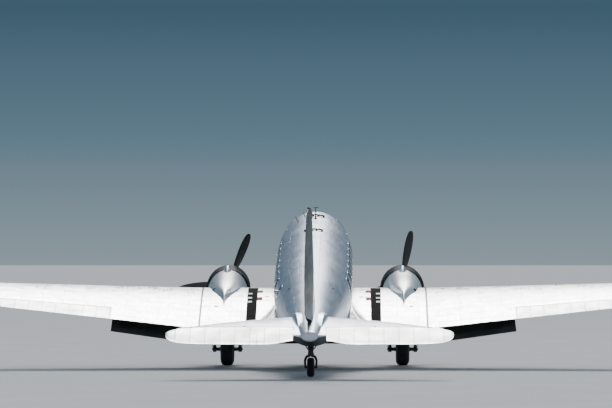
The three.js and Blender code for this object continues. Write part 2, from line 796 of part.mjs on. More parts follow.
function engine() {
  const pieces = [turned(ENGINE_CORE, ENGINE_X, THRUST_Z, 16)];
  for (let i = 0; i < CYLINDERS.count; i++) {
    const angle = (i * 2 * Math.PI) / CYLINDERS.count;
    pieces.push(bar(radial(angle, 220, CYLINDERS.station), radial(angle, 600, CYLINDERS.station), 82, 108, 8));
  }
  // The stays end just short of the middle of one of the cowl's flats.
  const { count, station, radius } = COWL_STAYS;
  const [[rear, rearRadius], [front, frontRadius]] = [COWL[7], COWL[8]];
  const flat = (2 * Math.PI) / COWL_SIDES;
  const inner = frontRadius + ((rearRadius - frontRadius) * (station - front)) / (rear - front);
  for (let i = 0; i < count; i++) {
    const angle = ((i * COWL_SIDES) / count + 0.5) * flat;
    const reach = inner * Math.cos(flat / 2) - 1;
    pieces.push(bar(radial(angle, 300, station), radial(angle, reach, station), radius, radius, 6));
  }
  return join(...pieces);
}

// Airscrew. Columns: radius, chord, thickness, blade angle.
const BLADE = [
  [90, 150, 150, 60],
  [240, 145, 145, 60],
  [430, 235, 76, 54],
  [750, 300, 44, 42],
  [1100, 312, 30, 33],
  [1450, 272, 20, 27],
  [1650, 190, 13, 25],
  [1748, 80, 9, 24],
];
const HUB = [
  [1700, 0],
  [1706, 62],
  [1760, 96],
  [1930, 106],
  [1960, 150],
  [2190, 150],
  [2190, 0],
];
const DISC = 2080;
const BLADE_TURN = { right: 10, left: 22 };

function airscrew(turn) {
  const hub = turned(HUB, ENGINE_X, THRUST_Z, 16);
  const blades = [0, 1, 2].map((i) => {
    const angle = deg(turn + 120 * i);
    const out = new THREE.Vector3(Math.sin(angle), 0, Math.cos(angle));
    const sideways = new THREE.Vector3(Math.cos(angle), 0, -Math.sin(angle));
    return loft(
      BLADE.map(([r, chord, thick, pitch]) => {
        const wide = sideways
          .clone()
          .multiplyScalar(Math.cos(deg(pitch)))
          .add(new THREE.Vector3(0, Math.sin(deg(pitch)), 0));
        const deep = wide.clone().cross(out);
        return Array.from({ length: 8 }, (_, k) => {
          const a = (2 * Math.PI * k) / 8;
          return at(ENGINE_X, DISC, THRUST_Z)
            .addScaledVector(out, r)
            .addScaledVector(wide, (chord / 2) * Math.cos(a))
            .addScaledVector(deep, (thick / 2) * Math.sin(a));
        });
      }),
    );
  });
  return join(hub, ...blades);
}

// Scoop on top of the nacelle and intake below it, as half ellipses. Columns: station, half width, height.
const SCOOP = [
  [3660, 70, 95],
  [3730, 112, 222],
  [3900, 106, 205],
  [4180, 50, 110],
];
const INTAKE = [
  [3660, 95, 160],
  [3900, 150, 210],
  [4540, 130, 200],
  [4840, 60, 140],
];

const SCOOP_FOOT = { top: 680, belly: 600 }; // from the thrust line

const halfEllipses = (table, z, way) =>
  loft(
    table.map(([station, wide, tall]) =>
      Array.from({ length: 9 }, (_, i) => {
        const angle = (Math.PI * i) / 8;
        return at(ENGINE_X + wide * Math.cos(angle), station, z + way * tall * Math.sin(angle));
      }),
    ),
  );

// The exhaust's points, outboard of and under the thrust line. Columns: out, station, down.
const EXHAUST = [
  [520, 3668, 395],
  [585, 4180, 480],
  [600, 4420, 520],
];

function buildEngines() {
  const well = block([ENGINE_X - WELL.half, ENGINE_X + WELL.half], [WELL.from, WELL.to], [-2500, WELL.roof]);
  const body = nacelleForm(0).subtract(centreWing(SEAM)).subtract(well);
  const scoop = halfEllipses(SCOOP, THRUST_Z + SCOOP_FOOT.top, 1);
  const intake = halfEllipses(INTAKE, THRUST_Z - SCOOP_FOOT.belly, -1);
  const nacelle = join(body, scoop, intake.subtract(well));
  const cowl = turned(COWL, ENGINE_X, THRUST_Z, COWL_SIDES);
  const line = EXHAUST.map(([out, station, down]) => at(ENGINE_X + out, station, THRUST_Z - down));
  const [start, elbow, end] = line;
  const pipe = join(bar(start, elbow, 75, 75, 10), bar(elbow, end, 75, 72, 10)).subtract(nacelleForm(SEAM));
  const power = engine();
  hingeAt("airscrew", at(ENGINE_X, DISC, THRUST_Z), at(ENGINE_X, DISC - 100, THRUST_Z));
  const across = new THREE.Matrix4().makeTranslation(-2 * ENGINE_X, 0, 0);
  for (const [side, place] of SIDES) {
    const blades = airscrew(BLADE_TURN[side]);
    add(`nacelle_${side}`, place(nacelle), "aluminium");
    add(`cowl_${side}`, place(cowl), "aluminium");
    add(`engine_${side}`, place(power), "steel");
    add(`exhaust_${side}`, place(pipe), "exhaust");
    add(`airscrew_${side}`, side === "right" ? blades : moved(blades, across), "black");
  }
}

// Main gear: two oleo legs astride each wheel, with drag struts back to the nacelle.
const LEG_X = 410;
const WHEEL_SIDES = 28;
// Wheel profiles. Columns: place along the axle, radius.
const MAIN_TYRE = [
  [-118, 236],
  [-205, 300],
  [-218, 400],
  [-165, 490],
  [-80, MAIN_AXLE.radius],
  [80, MAIN_AXLE.radius],
  [165, 490],
  [218, 400],
  [205, 300],
  [118, 236],
];
const MAIN_RIM = [
  [-145, 39],
  [-145, 95],
  [-117, 235.4],
  [117, 235.4],
  [145, 95],
  [145, 39],
];

function buildMainGear() {
  const { station, z } = MAIN_AXLE;
  const pieces = [bar(at(ENGINE_X - 475, station, z), at(ENGINE_X + 475, station, z), 38.6, 38.6, 12)];
  for (const s of [-1, 1]) {
    const x = ENGINE_X + s * LEG_X;
    const top = at(x, station + 330, WELL.roof - SEAM);
    const foot = at(x, station, z);
    const knee = top.clone().lerp(foot, 0.56);
    pieces.push(
      bar(top, knee, 66, 60, 10),
      bar(knee, foot, 42, 42, 8),
      bar(at(x - 62, station, z), at(x + 62, station, z), 96, 96, 12),
      bar(at(ENGINE_X + s * 146, station, z), at(x, station, z), 58, 58, 10),
      bar(foot.clone().lerp(top, 0.06), at(x - s * 60, 6350, -1655), 30, 34, 8),
      bar(knee.clone().lerp(top, 0.1), at(x - s * 20, 5480, -1675), 26, 26, 8),
    );
  }
  pieces.push(
    bar(at(ENGINE_X - LEG_X, station + 190, -1950), at(ENGINE_X + LEG_X, station + 190, -1950), 34, 34, 8),
    bar(at(ENGINE_X - LEG_X, station + 300, -1450), at(ENGINE_X + LEG_X, station + 300, -1450), 45, 45, 8),
  );
  const roof = block([ENGINE_X - 600, ENGINE_X + 600], [4000, 5200], [WELL.roof - SEAM, WELL.roof + 300]);
  const well = block([ENGINE_X - WELL.half, ENGINE_X + WELL.half], [WELL.from, WELL.to], [-2500, WELL.roof]);
  const gear = join(...pieces).subtract(roof).subtract(nacelleForm(SEAM).subtract(well));
  const tyre = wheel(MAIN_TYRE, ENGINE_X, station, z, WHEEL_SIDES);
  const rim = wheel(MAIN_RIM, ENGINE_X, station, z, WHEEL_SIDES);
  hingeAt("main_wheel", at(ENGINE_X, station, z), at(ENGINE_X + 100, station, z));
  for (const [side, place] of SIDES) {
    add(`gear_${side}`, place(gear), "steel");
    add(`main_tyre_${side}`, place(tyre), "rubber");
    add(`main_rim_${side}`, place(rim), "aluminium");
  }
}

const tailCone = (inset) => hull(CABIN.tail + SEAM + inset, FUSELAGE.at(-1)[0] - inset, inset);

// Tail wheel: a fixed strut, and a fork that swivels on a line that stands upright when parked.
const SWIVEL = new THREE.Vector3(0, Math.sin(PARKED_PITCH), Math.cos(PARKED_PITCH));
const TRAIL = 120;
const TAIL_WHEEL_SIDES = 24;
const TAIL_TYRE = [
  [-62, 116],
  [-110, 160],
  [-100, 240],
  [-45, TAIL_AXLE.radius],
  [45, TAIL_AXLE.radius],
  [100, 240],
  [110, 160],
  [62, 116],
];
const TAIL_RIM = [
  [-75, 23],
  [-75, 60],
  [-61, 115.4],
  [61, 115.4],
  [75, 60],
  [75, 23],
];

function buildTailGear() {
  const { station } = TAIL_AXLE;
  const axle = at(0, station, tailAxleZ);
  const level = new THREE.Vector3(0, Math.cos(PARKED_PITCH), -Math.sin(PARKED_PITCH));
  const head = axle.clone().addScaledVector(level, TRAIL).addScaledVector(SWIVEL, 385);
  const top = head.clone().addScaledVector(SWIVEL, 420);
  const strut = join(
    bar(head.clone().addScaledVector(SWIVEL, SEAM), head.clone().addScaledVector(SWIVEL, 140), 92, 92, 12),
    bar(head.clone().addScaledVector(SWIVEL, 120), top, 70, 80, 12),
    bar(head.clone().addScaledVector(SWIVEL, 90), at(0, 15050, -250), 40, 44, 8),
  ).subtract(tailCone(-SEAM));
  const fork = [bar(head.clone().addScaledVector(SWIVEL, -70), head, 92, 92, 12)];
  for (const s of [-1, 1]) {
    const side = (x, up, back) =>
      head
        .clone()
        .addScaledVector(SWIVEL, -up)
        .addScaledVector(level, -back)
        .add(new THREE.Vector3(s * x, 0, 0));
    const foot = axle.clone().add(new THREE.Vector3(s * 158, 0, 0));
    fork.push(
      bar(side(20, 55, 0), side(120, 85, 20), 42, 36, 8),
      bar(side(120, 85, 20), side(168, 210, 70), 36, 30, 8),
      bar(side(168, 210, 70), foot, 30, 28, 8),
    );
  }
  fork.push(bar(axle.clone().setX(-185), axle.clone().setX(185), 22.6, 22.6, 10));
  for (const s of [-1, 1]) fork.push(bar(axle.clone().setX(s * 76), axle.clone().setX(s * 160), 36, 36, 10));
  const tyre = wheel(TAIL_TYRE, 0, station, tailAxleZ, TAIL_WHEEL_SIDES);
  const rim = wheel(TAIL_RIM, 0, station, tailAxleZ, TAIL_WHEEL_SIDES);
  hingeAt("tail_swivel", head, top);
  hingeAt("tail_wheel", axle, axle.clone().setX(100));
  add("tail_strut", strut, "steel");
  add("tail_fork", join(...fork), "steel");
  add("tail_tyre", tyre, "rubber");
  add("tail_rim", rim, "aluminium");
}

// Tail surfaces. Fin columns: height, leading edge, trailing edge, greatest thickness.
const FIN = [
  [720, 14800, 19330, 255],
  [1250, 15400, 19500, 245],
  [2200, 16270, 19660, 220],
  [3000, 16820, 19520, 190],
  [3600, 17240, 19290, 160],
  [3980, 17540, 19060, 130],
  [4150, 17780, 18850, 90],
  [4220, 18050, 18600, 40],
];
// The rudder's lower edge is level as far as its heel, and rises from there at a rate. It is parked
// with its rear edge to port.
const RUDDER = { hinge: 17990, low: 960, horn: 3860, heel: 18130, rise: 0.35, turned: 4.5 };
const FIN_ROOT_END = { station: 18700, z: 830 }; // where the fin's root fairing runs out on the tail cone
const FIN_CUT = { run: 2400, top: 3000 }; // how far aft and up the cuts at the rudder's foot reach
// Tailplane columns: distance out, leading edge, trailing edge, greatest thickness.
const TAILPLANE = [
  [0, 16480, 18845, 245],
  [470, 16580, 18845, 238],
  [1080, 16740, 19070, 226],
  [2200, 17180, 19075, 196],
  [3300, 17760, 19050, 150],
  [3750, 18060, 18960, 112],
  [3980, 18200, 18780, 70],
  [4064, 18330, 18520, 30],
];
const ELEVATOR = { hinge: 18130, z: 700, inner: 470, horn: 3560, droop: 13 };

function finSections() {
  return FIN.map(([z, le, te, thick]) =>
    section({
      place: at(0, le, z),
      chord: te - le,
      thickness: thick / (te - le),
      camber: 0,
      up: new THREE.Vector3(1, 0, 0),
    }),
  );
}

// Half the thickness of a surface's section at the hinge, at each of some places along it.
function halvesAt(table, hinge, places) {
  return places.map((place) => {
    const next = Math.max(1, table.findIndex((row) => row[0] >= place));
    const [a, b] = [table[next - 1], table[next]];
    const t = (place - a[0]) / (b[0] - a[0]);
    const [, le, te, thick] = a.map((v, k) => v + (b[k] - v) * t);
    const chord = te - le;
    return profileHeights((hinge - le) / chord, thick / chord).half * chord;
  });
}

function spread(from, to, count) {
  return Array.from({ length: count }, (_, i) => from + ((to - from) * i) / (count - 1));
}

function buildFin() {
  const whole = loft(finSections());
  const a = at(0, RUDDER.hinge, RUDDER.low);
  const b = at(0, RUDDER.hinge, RUDDER.horn);
  const horn = (slack) => block([-600, 600], [15000, 21000], [RUDDER.horn - slack, 5000]);
  // Under the rudder the fin keeps a fairing that runs out on the tail cone.
  const below = (slack) =>
    prism(
      [
        at(-600, RUDDER.hinge - 500, RUDDER.low - slack),
        at(-600, RUDDER.heel, RUDDER.low - slack),
        at(-600, RUDDER.heel + FIN_CUT.run, RUDDER.low - slack + FIN_CUT.run * RUDDER.rise),
        at(-600, RUDDER.heel + FIN_CUT.run, 0),
        at(-600, RUDDER.hinge - 500, 0),
      ],
      new THREE.Vector3(1200, 0, 0),
    );
  const past = prism(
    [
      at(-600, RUDDER.heel, FIN_CUT.top),
      at(-600, RUDDER.heel + FIN_CUT.run, FIN_CUT.top),
      at(-600, RUDDER.heel + FIN_CUT.run, 0),
      at(-600, FIN_ROOT_END.station, FIN_ROOT_END.z),
      at(-600, RUDDER.heel, RUDDER.low - MOVING_GAP),
    ],
    new THREE.Vector3(1200, 0, 0),
  );
  const halves = halvesAt(FIN, RUDDER.hinge, spread(RUDDER.low, RUDDER.horn, NOSE_PLACES));
  const { fixed, moving } = hinged(whole, a, b, halves, new THREE.Vector3(-1, 0, 0), { horn, below });
  hingeAt("rudder", a, b);
  add("fin", fixed.subtract(past).subtract(tailCone(-SEAM)), "aluminium");
  add("rudder", moved(moving, turnAbout(a, b, -RUDDER.turned)).subtract(tailCone(-MOVING_GAP)), "fabric");
}

function buildTailplane() {
  const whole = loft(
    TAILPLANE.map(([x, le, te, thick]) =>
      section({ place: at(x, le, ELEVATOR.z), chord: te - le, thickness: thick / (te - le), camber: 0 }),
    ),
  );
  const a = at(ELEVATOR.inner, ELEVATOR.hinge, ELEVATOR.z);
  const b = at(ELEVATOR.horn, ELEVATOR.hinge, ELEVATOR.z);
  const horn = (slack) => block([ELEVATOR.horn - slack, 5000], [15000, 21000], [-500, 2000]);
  const halves = halvesAt(TAILPLANE, ELEVATOR.hinge, spread(ELEVATOR.inner, ELEVATOR.horn, NOSE_PLACES));
  const { fixed, moving } = hinged(whole, a, b, halves, new THREE.Vector3(0, 0, 1), { horn });
  const portHalf = block([-100, SEAM / 2], [14000, 20000], [0, 1500]);
  const cone = tailCone(-SEAM);
  const stabiliser = fixed.subtract(cone.add(toPort(cone))).subtract(portHalf);
  const elevator = moved(moving, turnAbout(a, b, ELEVATOR.droop));
  hingeAt("elevator", a, b);
  for (const [side, place] of SIDES) {
    add(`tailplane_${side}`, place(stabiliser), "aluminium");
    add(`elevator_${side}`, place(elevator), "fabric");
  }
}

buildCabin();
buildSeats();
buildCentreWing();
buildOuterWings();
buildEngines();
buildMainGear();
buildTailGear();
buildFin();
buildTailplane();

const parked = new THREE.Group();
parked.rotation.x = PARKED_PITCH;
parked.add(aircraft);
const model = new THREE.Group();
model.add(parked);
model.updateMatrixWorld(true);
const bounds = new THREE.Box3().setFromObject(model, true);
const middle = bounds.getCenter(new THREE.Vector3());
parked.position.set(-middle.x, -middle.y, -bounds.min.z);

export default model;
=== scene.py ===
import json
import math

import bmesh
import bpy
from mathutils import Matrix, Vector
from mathutils.geometry import tessellate_polygon


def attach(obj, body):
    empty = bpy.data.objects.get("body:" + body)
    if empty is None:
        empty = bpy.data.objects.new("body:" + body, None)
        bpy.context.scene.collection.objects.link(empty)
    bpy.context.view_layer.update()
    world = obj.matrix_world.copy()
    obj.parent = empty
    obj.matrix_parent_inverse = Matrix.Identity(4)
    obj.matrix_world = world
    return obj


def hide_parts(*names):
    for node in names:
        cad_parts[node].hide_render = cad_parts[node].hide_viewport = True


# Looks for a twin-engined low-wing airliner parked on its tail wheel. Shapes are worked out in the
# aircraft's own level frame, as the CAD source does: x to starboard, stations aft of the nose tip,
# heights from the cabin's widest line, in millimetres. LEVEL takes that frame to the row frame.

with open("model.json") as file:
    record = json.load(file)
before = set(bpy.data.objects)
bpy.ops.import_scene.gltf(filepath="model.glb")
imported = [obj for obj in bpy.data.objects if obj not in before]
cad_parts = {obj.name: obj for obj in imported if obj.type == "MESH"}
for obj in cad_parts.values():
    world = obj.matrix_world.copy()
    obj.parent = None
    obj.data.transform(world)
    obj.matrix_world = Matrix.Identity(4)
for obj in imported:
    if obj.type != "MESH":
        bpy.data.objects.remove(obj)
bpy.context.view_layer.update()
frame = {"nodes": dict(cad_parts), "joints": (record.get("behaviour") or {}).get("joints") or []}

MM = 0.001
PARKED_PITCH = math.radians(11)
SIDES = (("right", 1), ("left", -1))
DIHEDRAL = math.tan(math.radians(5.3))
WING_INCIDENCE = math.radians(2.6)
HALF_SPAN = 14480
CHORD = 4320
JOINT_X = 3560
ENGINE_X = 2820
THRUST_Z = -1135
DISC = 2080


def at(x, station, z):
    return Vector((x, -station, z)) * MM


STARBOARD = Vector((1, 0, 0))
FORWARD = Vector((0, 1, 0))
AFT = Vector((0, -1, 0))
UP = Vector((0, 0, 1))
DOWN = Vector((0, 0, -1))

joints = {joint["name"]: joint for joint in frame["joints"]}
nose_up = Matrix.Rotation(PARKED_PITCH, 4, "X")
hub_place = nose_up @ at(ENGINE_X, DISC, THRUST_Z)
LEVEL = Matrix.Translation(Vector(joints["airscrew_right_spin"]["pos_m"]) - hub_place) @ nose_up


def spread(start, end, count):
    return [start + (end - start) * i / (count - 1) for i in range(count)]


# Angles evenly round a circle, the first of them a share of a step on.
def turns(count, start=0.0):
    return [2 * math.pi * (i + start) / count for i in range(count)]


# Where a range passes from one side of a test to the other, by halving.
def crossing(before, low, high, halvings=30):
    for _ in range(halvings):
        middle = (low + high) / 2
        low, high = (middle, high) if before(middle) else (low, middle)
    return middle


# Smooth rows through a table's rows. The first column is the place along the form.
def fine(table, steps=8):
    rows = [[float(value) for value in row] for row in table]
    gaps = [max(1.0, math.dist(a, b)) ** 0.5 for a, b in zip(rows, rows[1:])]
    rates = [[(q - p) / gap for p, q in zip(a, b)] for a, b, gap in zip(rows, rows[1:], gaps)]
    slopes = [rates[0]]
    for i in range(1, len(rates)):
        h0, h1 = gaps[i - 1], gaps[i]
        slopes.append([
            0.0 if r0 * r1 <= 0 else (r0 * h1 + r1 * h0) / (h0 + h1)
            for r0, r1 in zip(rates[i - 1], rates[i])
        ])
    slopes.append(rates[-1])
    out = []
    for i, gap in enumerate(gaps):
        for k in range(steps):
            t = k / steps
            weights = (2 * t**3 - 3 * t**2 + 1, t**3 - 2 * t**2 + t, 3 * t**2 - 2 * t**3, t**3 - t**2)
            out.append([
                weights[0] * a + weights[1] * gap * m0 + weights[2] * b + weights[3] * gap * m1
                for a, b, m0, m1 in zip(rows[i], rows[i + 1], slopes[i], slopes[i + 1])
            ])
    return [*out, rows[-1]]


# A row of a table at a place between its rows.
def row_at(rows, place):
    for a, b in zip(rows, rows[1:]):
        if place <= b[0]:
            break
    t = (place - a[0]) / (b[0] - a[0])
    return [p + (q - p) * t for p, q in zip(a, b)]


# Mesh building. Every builder adds to a bmesh, in metres.
def skin(bm, rings, closed=True, caps=True):
    rows = [[bm.verts.new(point) for point in ring] for ring in rings]
    count = len(rows[0])
    for a, b in zip(rows, rows[1:]):
        for i in range(count if closed else count - 1):
            j = (i + 1) % count
            bm.faces.new((a[i], a[j], b[j], b[i]))
    if caps:
        bm.faces.new(rows[0][::-1])
        bm.faces.new(rows[-1])
    return rows


# An open sheet through rows of points.
def sheet(bm, rows):
    skin(bm, rows, closed=False, caps=False)


def basis(axis):
    axis = axis.normalized()
    side = axis.cross(UP)
    if side.length < 0.1:
        side = axis.cross(FORWARD)
    side.normalize()
    return axis, side, axis.cross(side)


# A turned body: rows of (millimetres along the axis, radius), closed into a ring where hollow is set.
def turned(bm, rows, centre, axis, sides=32, hollow=False):
    along, u, v = basis(axis)
    rings = []
    for place, radius in rows:
        outs = [(u * math.cos(a) + v * math.sin(a)) * max(radius, 0.2) for a in turns(sides)]
        rings.append([centre + (along * place + out) * MM for out in outs])
    made = skin(bm, rings, caps=not hollow)
    if hollow:
        for i in range(sides):
            j = (i + 1) % sides
            bm.faces.new((made[-1][i], made[-1][j], made[0][j], made[0][i]))


# A tube along points, with a radius at each point.
def tube(bm, points, radii, sides=12, caps=True):
    if not hasattr(radii, "__len__"):
        radii = [radii] * len(points)
    _, side, _ = basis(points[1] - points[0])
    rings = []
    for i, point in enumerate(points):
        along = (points[min(i + 1, len(points) - 1)] - points[max(i - 1, 0)]).normalized()
        side = (side - along * side.dot(along)).normalized()
        up = along.cross(side)
        rings.append([point + (side * math.cos(a) + up * math.sin(a)) * radii[i] * MM for a in turns(sides)])
    skin(bm, rings, caps=caps)


# A smooth line through a few points.
def bend(points, steps=6):
    line = []
    for i in range(len(points) - 1):
        p0, p1 = points[max(i - 1, 0)], points[i]
        p2, p3 = points[i + 1], points[min(i + 2, len(points) - 1)]
        for k in range(steps):
            t = k / steps
            line.append(0.5 * (
                2 * p1 + (p2 - p0) * t + (2 * p0 - 5 * p1 + 4 * p2 - p3) * t * t
                + (3 * p1 - p0 - 3 * p2 + p3) * t**3
            ))
    return [*line, points[-1]]


# A block with rounded edges between two corners given as (x, station, height).
def slab(bm, low, high, rounding=4):
    a, b = at(*low), at(*high)
    size = [abs(b[i] - a[i]) for i in range(3)]
    matrix = Matrix.Translation((a + b) / 2) @ Matrix.Diagonal((*size, 1))
    made = bmesh.ops.create_cube(bm, size=1, matrix=matrix)
    edges = list(dict.fromkeys(edge for vert in made["verts"] for edge in vert.link_edges))
    width = min(rounding * MM, min(size) * 0.45)
    bmesh.ops.bevel(bm, geom=edges, offset=width, segments=2, profile=0.5, affect="EDGES")


# A polygon with holes in it, all in one plane.
def plate(bm, outline, holes=()):
    loops = [outline, *holes]
    verts = [bm.verts.new(point) for loop in loops for point in loop]
    for a, b, c in tessellate_polygon(loops):
        bm.faces.new((verts[a], verts[b], verts[c]))


# Cuts away what lies ahead of every one of some planes, each a point and the way that is cut away.
def carve(bm, planes):
    faces = list(bm.faces)
    for point, out in planes:
        edges = {edge for face in faces for edge in face.edges}
        verts = {vert for face in faces for vert in face.verts}
        bmesh.ops.bisect_plane(bm, geom=[*faces, *edges, *verts], plane_co=point, plane_no=out, dist=1e-6)
        kept = {face for vert in verts if vert.is_valid for face in vert.link_faces}
        near = kept | {face for face in faces if face.is_valid}
        faces = [face for face in near if (face.calc_center_median() - point).dot(out) > 0]
        for earlier, way in planes:
            faces = [face for face in faces if (face.calc_center_median() - earlier).dot(way) > 0]
            if earlier is point:
                break
    doomed = [face for face in faces if all((face.calc_center_median() - p).dot(n) > 0 for p, n in planes)]
    bmesh.ops.delete(bm, geom=doomed, context="FACES")


def mirrored(bm, side):
    if side < 0:
        for vert in bm.verts:
            vert.co.x = -vert.co.x
        bmesh.ops.reverse_faces(bm, faces=bm.faces)


# Finishes a mesh as a piece that rides on a body. What was built for the right is mirrored for the left side.
def piece(name, bm, looks, body="airframe", replaces=None, sharp=35, uv=None, side=1):
    mirrored(bm, side)
    bmesh.ops.remove_doubles(bm, verts=bm.verts, dist=2e-6)
    bmesh.ops.recalc_face_normals(bm, faces=bm.faces)
    if uv:
        layer = bm.loops.layers.uv.new("UVMap")
        for face in bm.faces:
            centre = face.calc_center_median()
            for loop in face.loops:
                loop[layer].uv = uv(loop.vert.co, centre)
    bm.transform(LEVEL)
    mesh = bpy.data.meshes.new(name)
    bm.to_mesh(mesh)
    bm.free()
    for look in looks if isinstance(looks, (list, tuple)) else [looks]:
        mesh.materials.append(look)
    mesh.shade_smooth()
    mesh.set_sharp_from_angle(angle=math.radians(sharp))
    obj = bpy.data.objects.new(name, mesh)
    bpy.context.scene.collection.objects.link(obj)
    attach(obj, body)
    if replaces:
        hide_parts(replaces)
    return obj


# Looks. Each is one shader with its own nodes for tone, wear, seams and relief.
class Look:
    def __init__(self, name, colour, rough, metal=0.0, **sockets):
        self.material = bpy.data.materials.new(name)
        self.material.use_nodes = True
        self.tree = self.material.node_tree
        self.shader = next(node for node in self.tree.nodes if node.type == "BSDF_PRINCIPLED")
        self.relief = None
        self.plug(self.shader, {"Base Color": (*colour, 1), "Roughness": rough, "Metallic": metal, **sockets})

    def plug(self, node, values):
        for key, value in values.items():
            if isinstance(value, bpy.types.NodeSocket):
                self.tree.links.new(value, node.inputs[key])
            else:
                node.inputs[key].default_value = value

    def node(self, kind, values=None, **settings):
        made = self.tree.nodes.new("ShaderNode" + kind)
        for key, value in settings.items():
            setattr(made, key, value)
        self.plug(made, values or {})
        return made

    def where(self, kind):
        return self.node("TexCoord").outputs[kind]

    def math(self, operation, a, b=0.0):
        return self.node("Math", {0: a, 1: b}, operation=operation).outputs[0]

    def mix(self, share, a, b):
        ends = {6: (*a, 1) if isinstance(a, tuple) else a, 7: (*b, 1) if isinstance(b, tuple) else b}
        return self.node("Mix", {0: share, **ends}, data_type="RGBA").outputs[2]

    def noise(self, scale, detail=3.0, stretch=None):
        place = self.where("Object")
        if stretch:
            place = self.node("Mapping", {"Vector": place, "Scale": stretch}).outputs[0]
        return self.node("TexNoise", {"Vector": place, "Scale": scale, "Detail": detail}).outputs[0]

    # Fine bands across one of the object's axes.
    def bands(self, scale, axis, distortion):
        values = {"Vector": self.where("Object"), "Scale": scale, "Distortion": distortion}
        return self.node("TexWave", values, bands_direction=axis).outputs["Fac"]

    def ramp(self, value, low, high, out_low=0.0, out_high=1.0):
        values = {"Value": value, "From Min": low, "From Max": high, "To Min": out_low, "To Max": out_high}
        return self.node("MapRange", values).outputs[0]

    def bump(self, height, distance, strength=1.0):
        values = {"Height": height, "Distance": distance, "Strength": strength}
        if self.relief:
            values["Normal"] = self.relief
        self.relief = self.node("Bump", values).outputs[0]
        self.plug(self.shader, {"Normal": self.relief})

    def colour(self, socket):
        self.plug(self.shader, {"Base Color": socket})

    def rough(self, socket):
        self.plug(self.shader, {"Roughness": socket})


def shaded(tone, share):
    return tuple(value * share for value in tone)


# Riveted sheet metal. Its UV map is in metres: along the panels' length, then across.
def sheet_metal(name, tones, rough, panel, lines=0.0, waves=0.0015, relief=0.003):
    look = Look(name, tones[0], sum(rough) / 2, 1.0, **{"Coat Weight": 0.0})
    uv = look.where("UV")
    size = {"Scale": 1.0, "Brick Width": panel[0], "Row Height": panel[1], "Mortar Smooth": 0.4}
    ends = {"Color1": (*tones[0], 1), "Color2": (*tones[1], 1), "Mortar": (*shaded(tones[0], 0.35), 1)}
    panels = look.node("TexBrick", {"Vector": uv, "Mortar Size": 0.005, **size, **ends}, offset=0.5)
    band = look.node("TexBrick", {"Vector": uv, "Mortar Size": 0.03, **size}, offset=0.5)
    smudge = look.ramp(look.noise(1.7, 5.0), 0.35, 0.7)
    streak = look.ramp(look.noise(1.0, 4.0, (9.0, 0.5, 9.0)), 0.35, 0.75)
    worn = look.math("MULTIPLY", look.math("ADD", smudge, streak), 0.16)
    look.colour(look.mix(worn, panels.outputs["Color"], shaded(tones[0], 0.62)))
    look.rough(look.ramp(look.math("ADD", smudge, streak), 0.0, 2.0, *rough))
    dots = look.node("TexVoronoi", {"Vector": uv, "Scale": 26.0, "Randomness": 0.0})
    heads = look.ramp(dots.outputs["Distance"], 0.1, 0.2, 1.0, 0.0)
    rivets = look.math("MULTIPLY", heads, band.outputs["Fac"])
    look.bump(look.noise(2.3, 1.0), waves * 8)
    look.bump(look.math("SUBTRACT", look.math("MULTIPLY", rivets, 0.35), panels.outputs["Fac"]), relief)
    if lines:
        across = look.node("SeparateXYZ", {0: uv}).outputs[1]
        ridge = look.math("SINE", look.math("MULTIPLY", across, 2 * math.pi / lines))
        look.bump(look.math("POWER", look.math("ABSOLUTE", ridge), 6.0), relief * 0.4, 0.6)
    return look.material


RIB_PITCH = 0.42


# Doped fabric over ribs, silvered. UV in metres: along the span, then along the chord.
def ribbed_fabric(name, tone, rough, metal):
    look = Look(name, tone, rough, metal)
    uv = look.where("UV")
    along = look.node("SeparateXYZ", {0: uv}).outputs[0]
    ridge = look.math("ABSOLUTE", look.math("SINE", look.math("MULTIPLY", along, math.pi / RIB_PITCH)))
    tape = look.ramp(ridge, 0.0, 0.12, 1.0, 0.0)
    weave = look.node("TexWave", {"Vector": uv, "Scale": 90.0, "Distortion": 0.0}, wave_type="BANDS")
    grime = look.ramp(look.noise(2.0, 6.0), 0.3, 0.75)
    taped = look.mix(tape, tone, shaded(tone, 0.9))
    look.colour(look.mix(look.math("MULTIPLY", grime, 0.25), taped, shaded(tone, 0.6)))
    look.rough(look.ramp(grime, 0.0, 1.0, rough - 0.05, rough + 0.12))
    look.bump(look.math("POWER", ridge, 0.5), -0.008, 0.8)
    look.bump(tape, 0.0015)
    look.bump(weave.outputs["Fac"], 0.0002, 0.3)
    return look.material


DUST = (0.35, 0.33, 0.3)


# Painted or bare metal, worn in patches and specks to another colour.
def rough_metal(name, colour, rough, metal, wear=DUST, amount=0.35, scale=14.0, grain=0.0006, shine=0.5):
    look = Look(name, colour, rough, metal, **{"Specular IOR Level": shine})
    patches = look.ramp(look.noise(scale * 0.3, 6.0), 0.45, 0.75)
    specks = look.ramp(look.noise(scale * 4, 3.0), 0.55, 0.75)
    share = look.math("MULTIPLY", look.math("ADD", patches, look.math("MULTIPLY", specks, 0.5)), amount)
    look.colour(look.mix(share, colour, wear))
    look.rough(look.ramp(patches, 0.0, 1.0, rough * 0.85, min(1.0, rough * 1.25)))
    look.bump(look.noise(scale * 5, 4.0), grain)
    return look.material


# Black rubber, dusty near the edges of its tread, with fine moulded grain.
def rubber(name):
    look = Look(name, (0.012, 0.012, 0.013), 0.75, 0.0)
    dust = look.ramp(look.noise(6.0, 6.0), 0.4, 0.75)
    look.colour(look.mix(look.math("MULTIPLY", dust, 0.4), (0.012, 0.012, 0.013), (0.07, 0.065, 0.06)))
    look.rough(look.ramp(dust, 0.0, 1.0, 0.62, 0.9))
    look.bump(look.noise(160.0, 3.0), 0.0006)
    return look.material


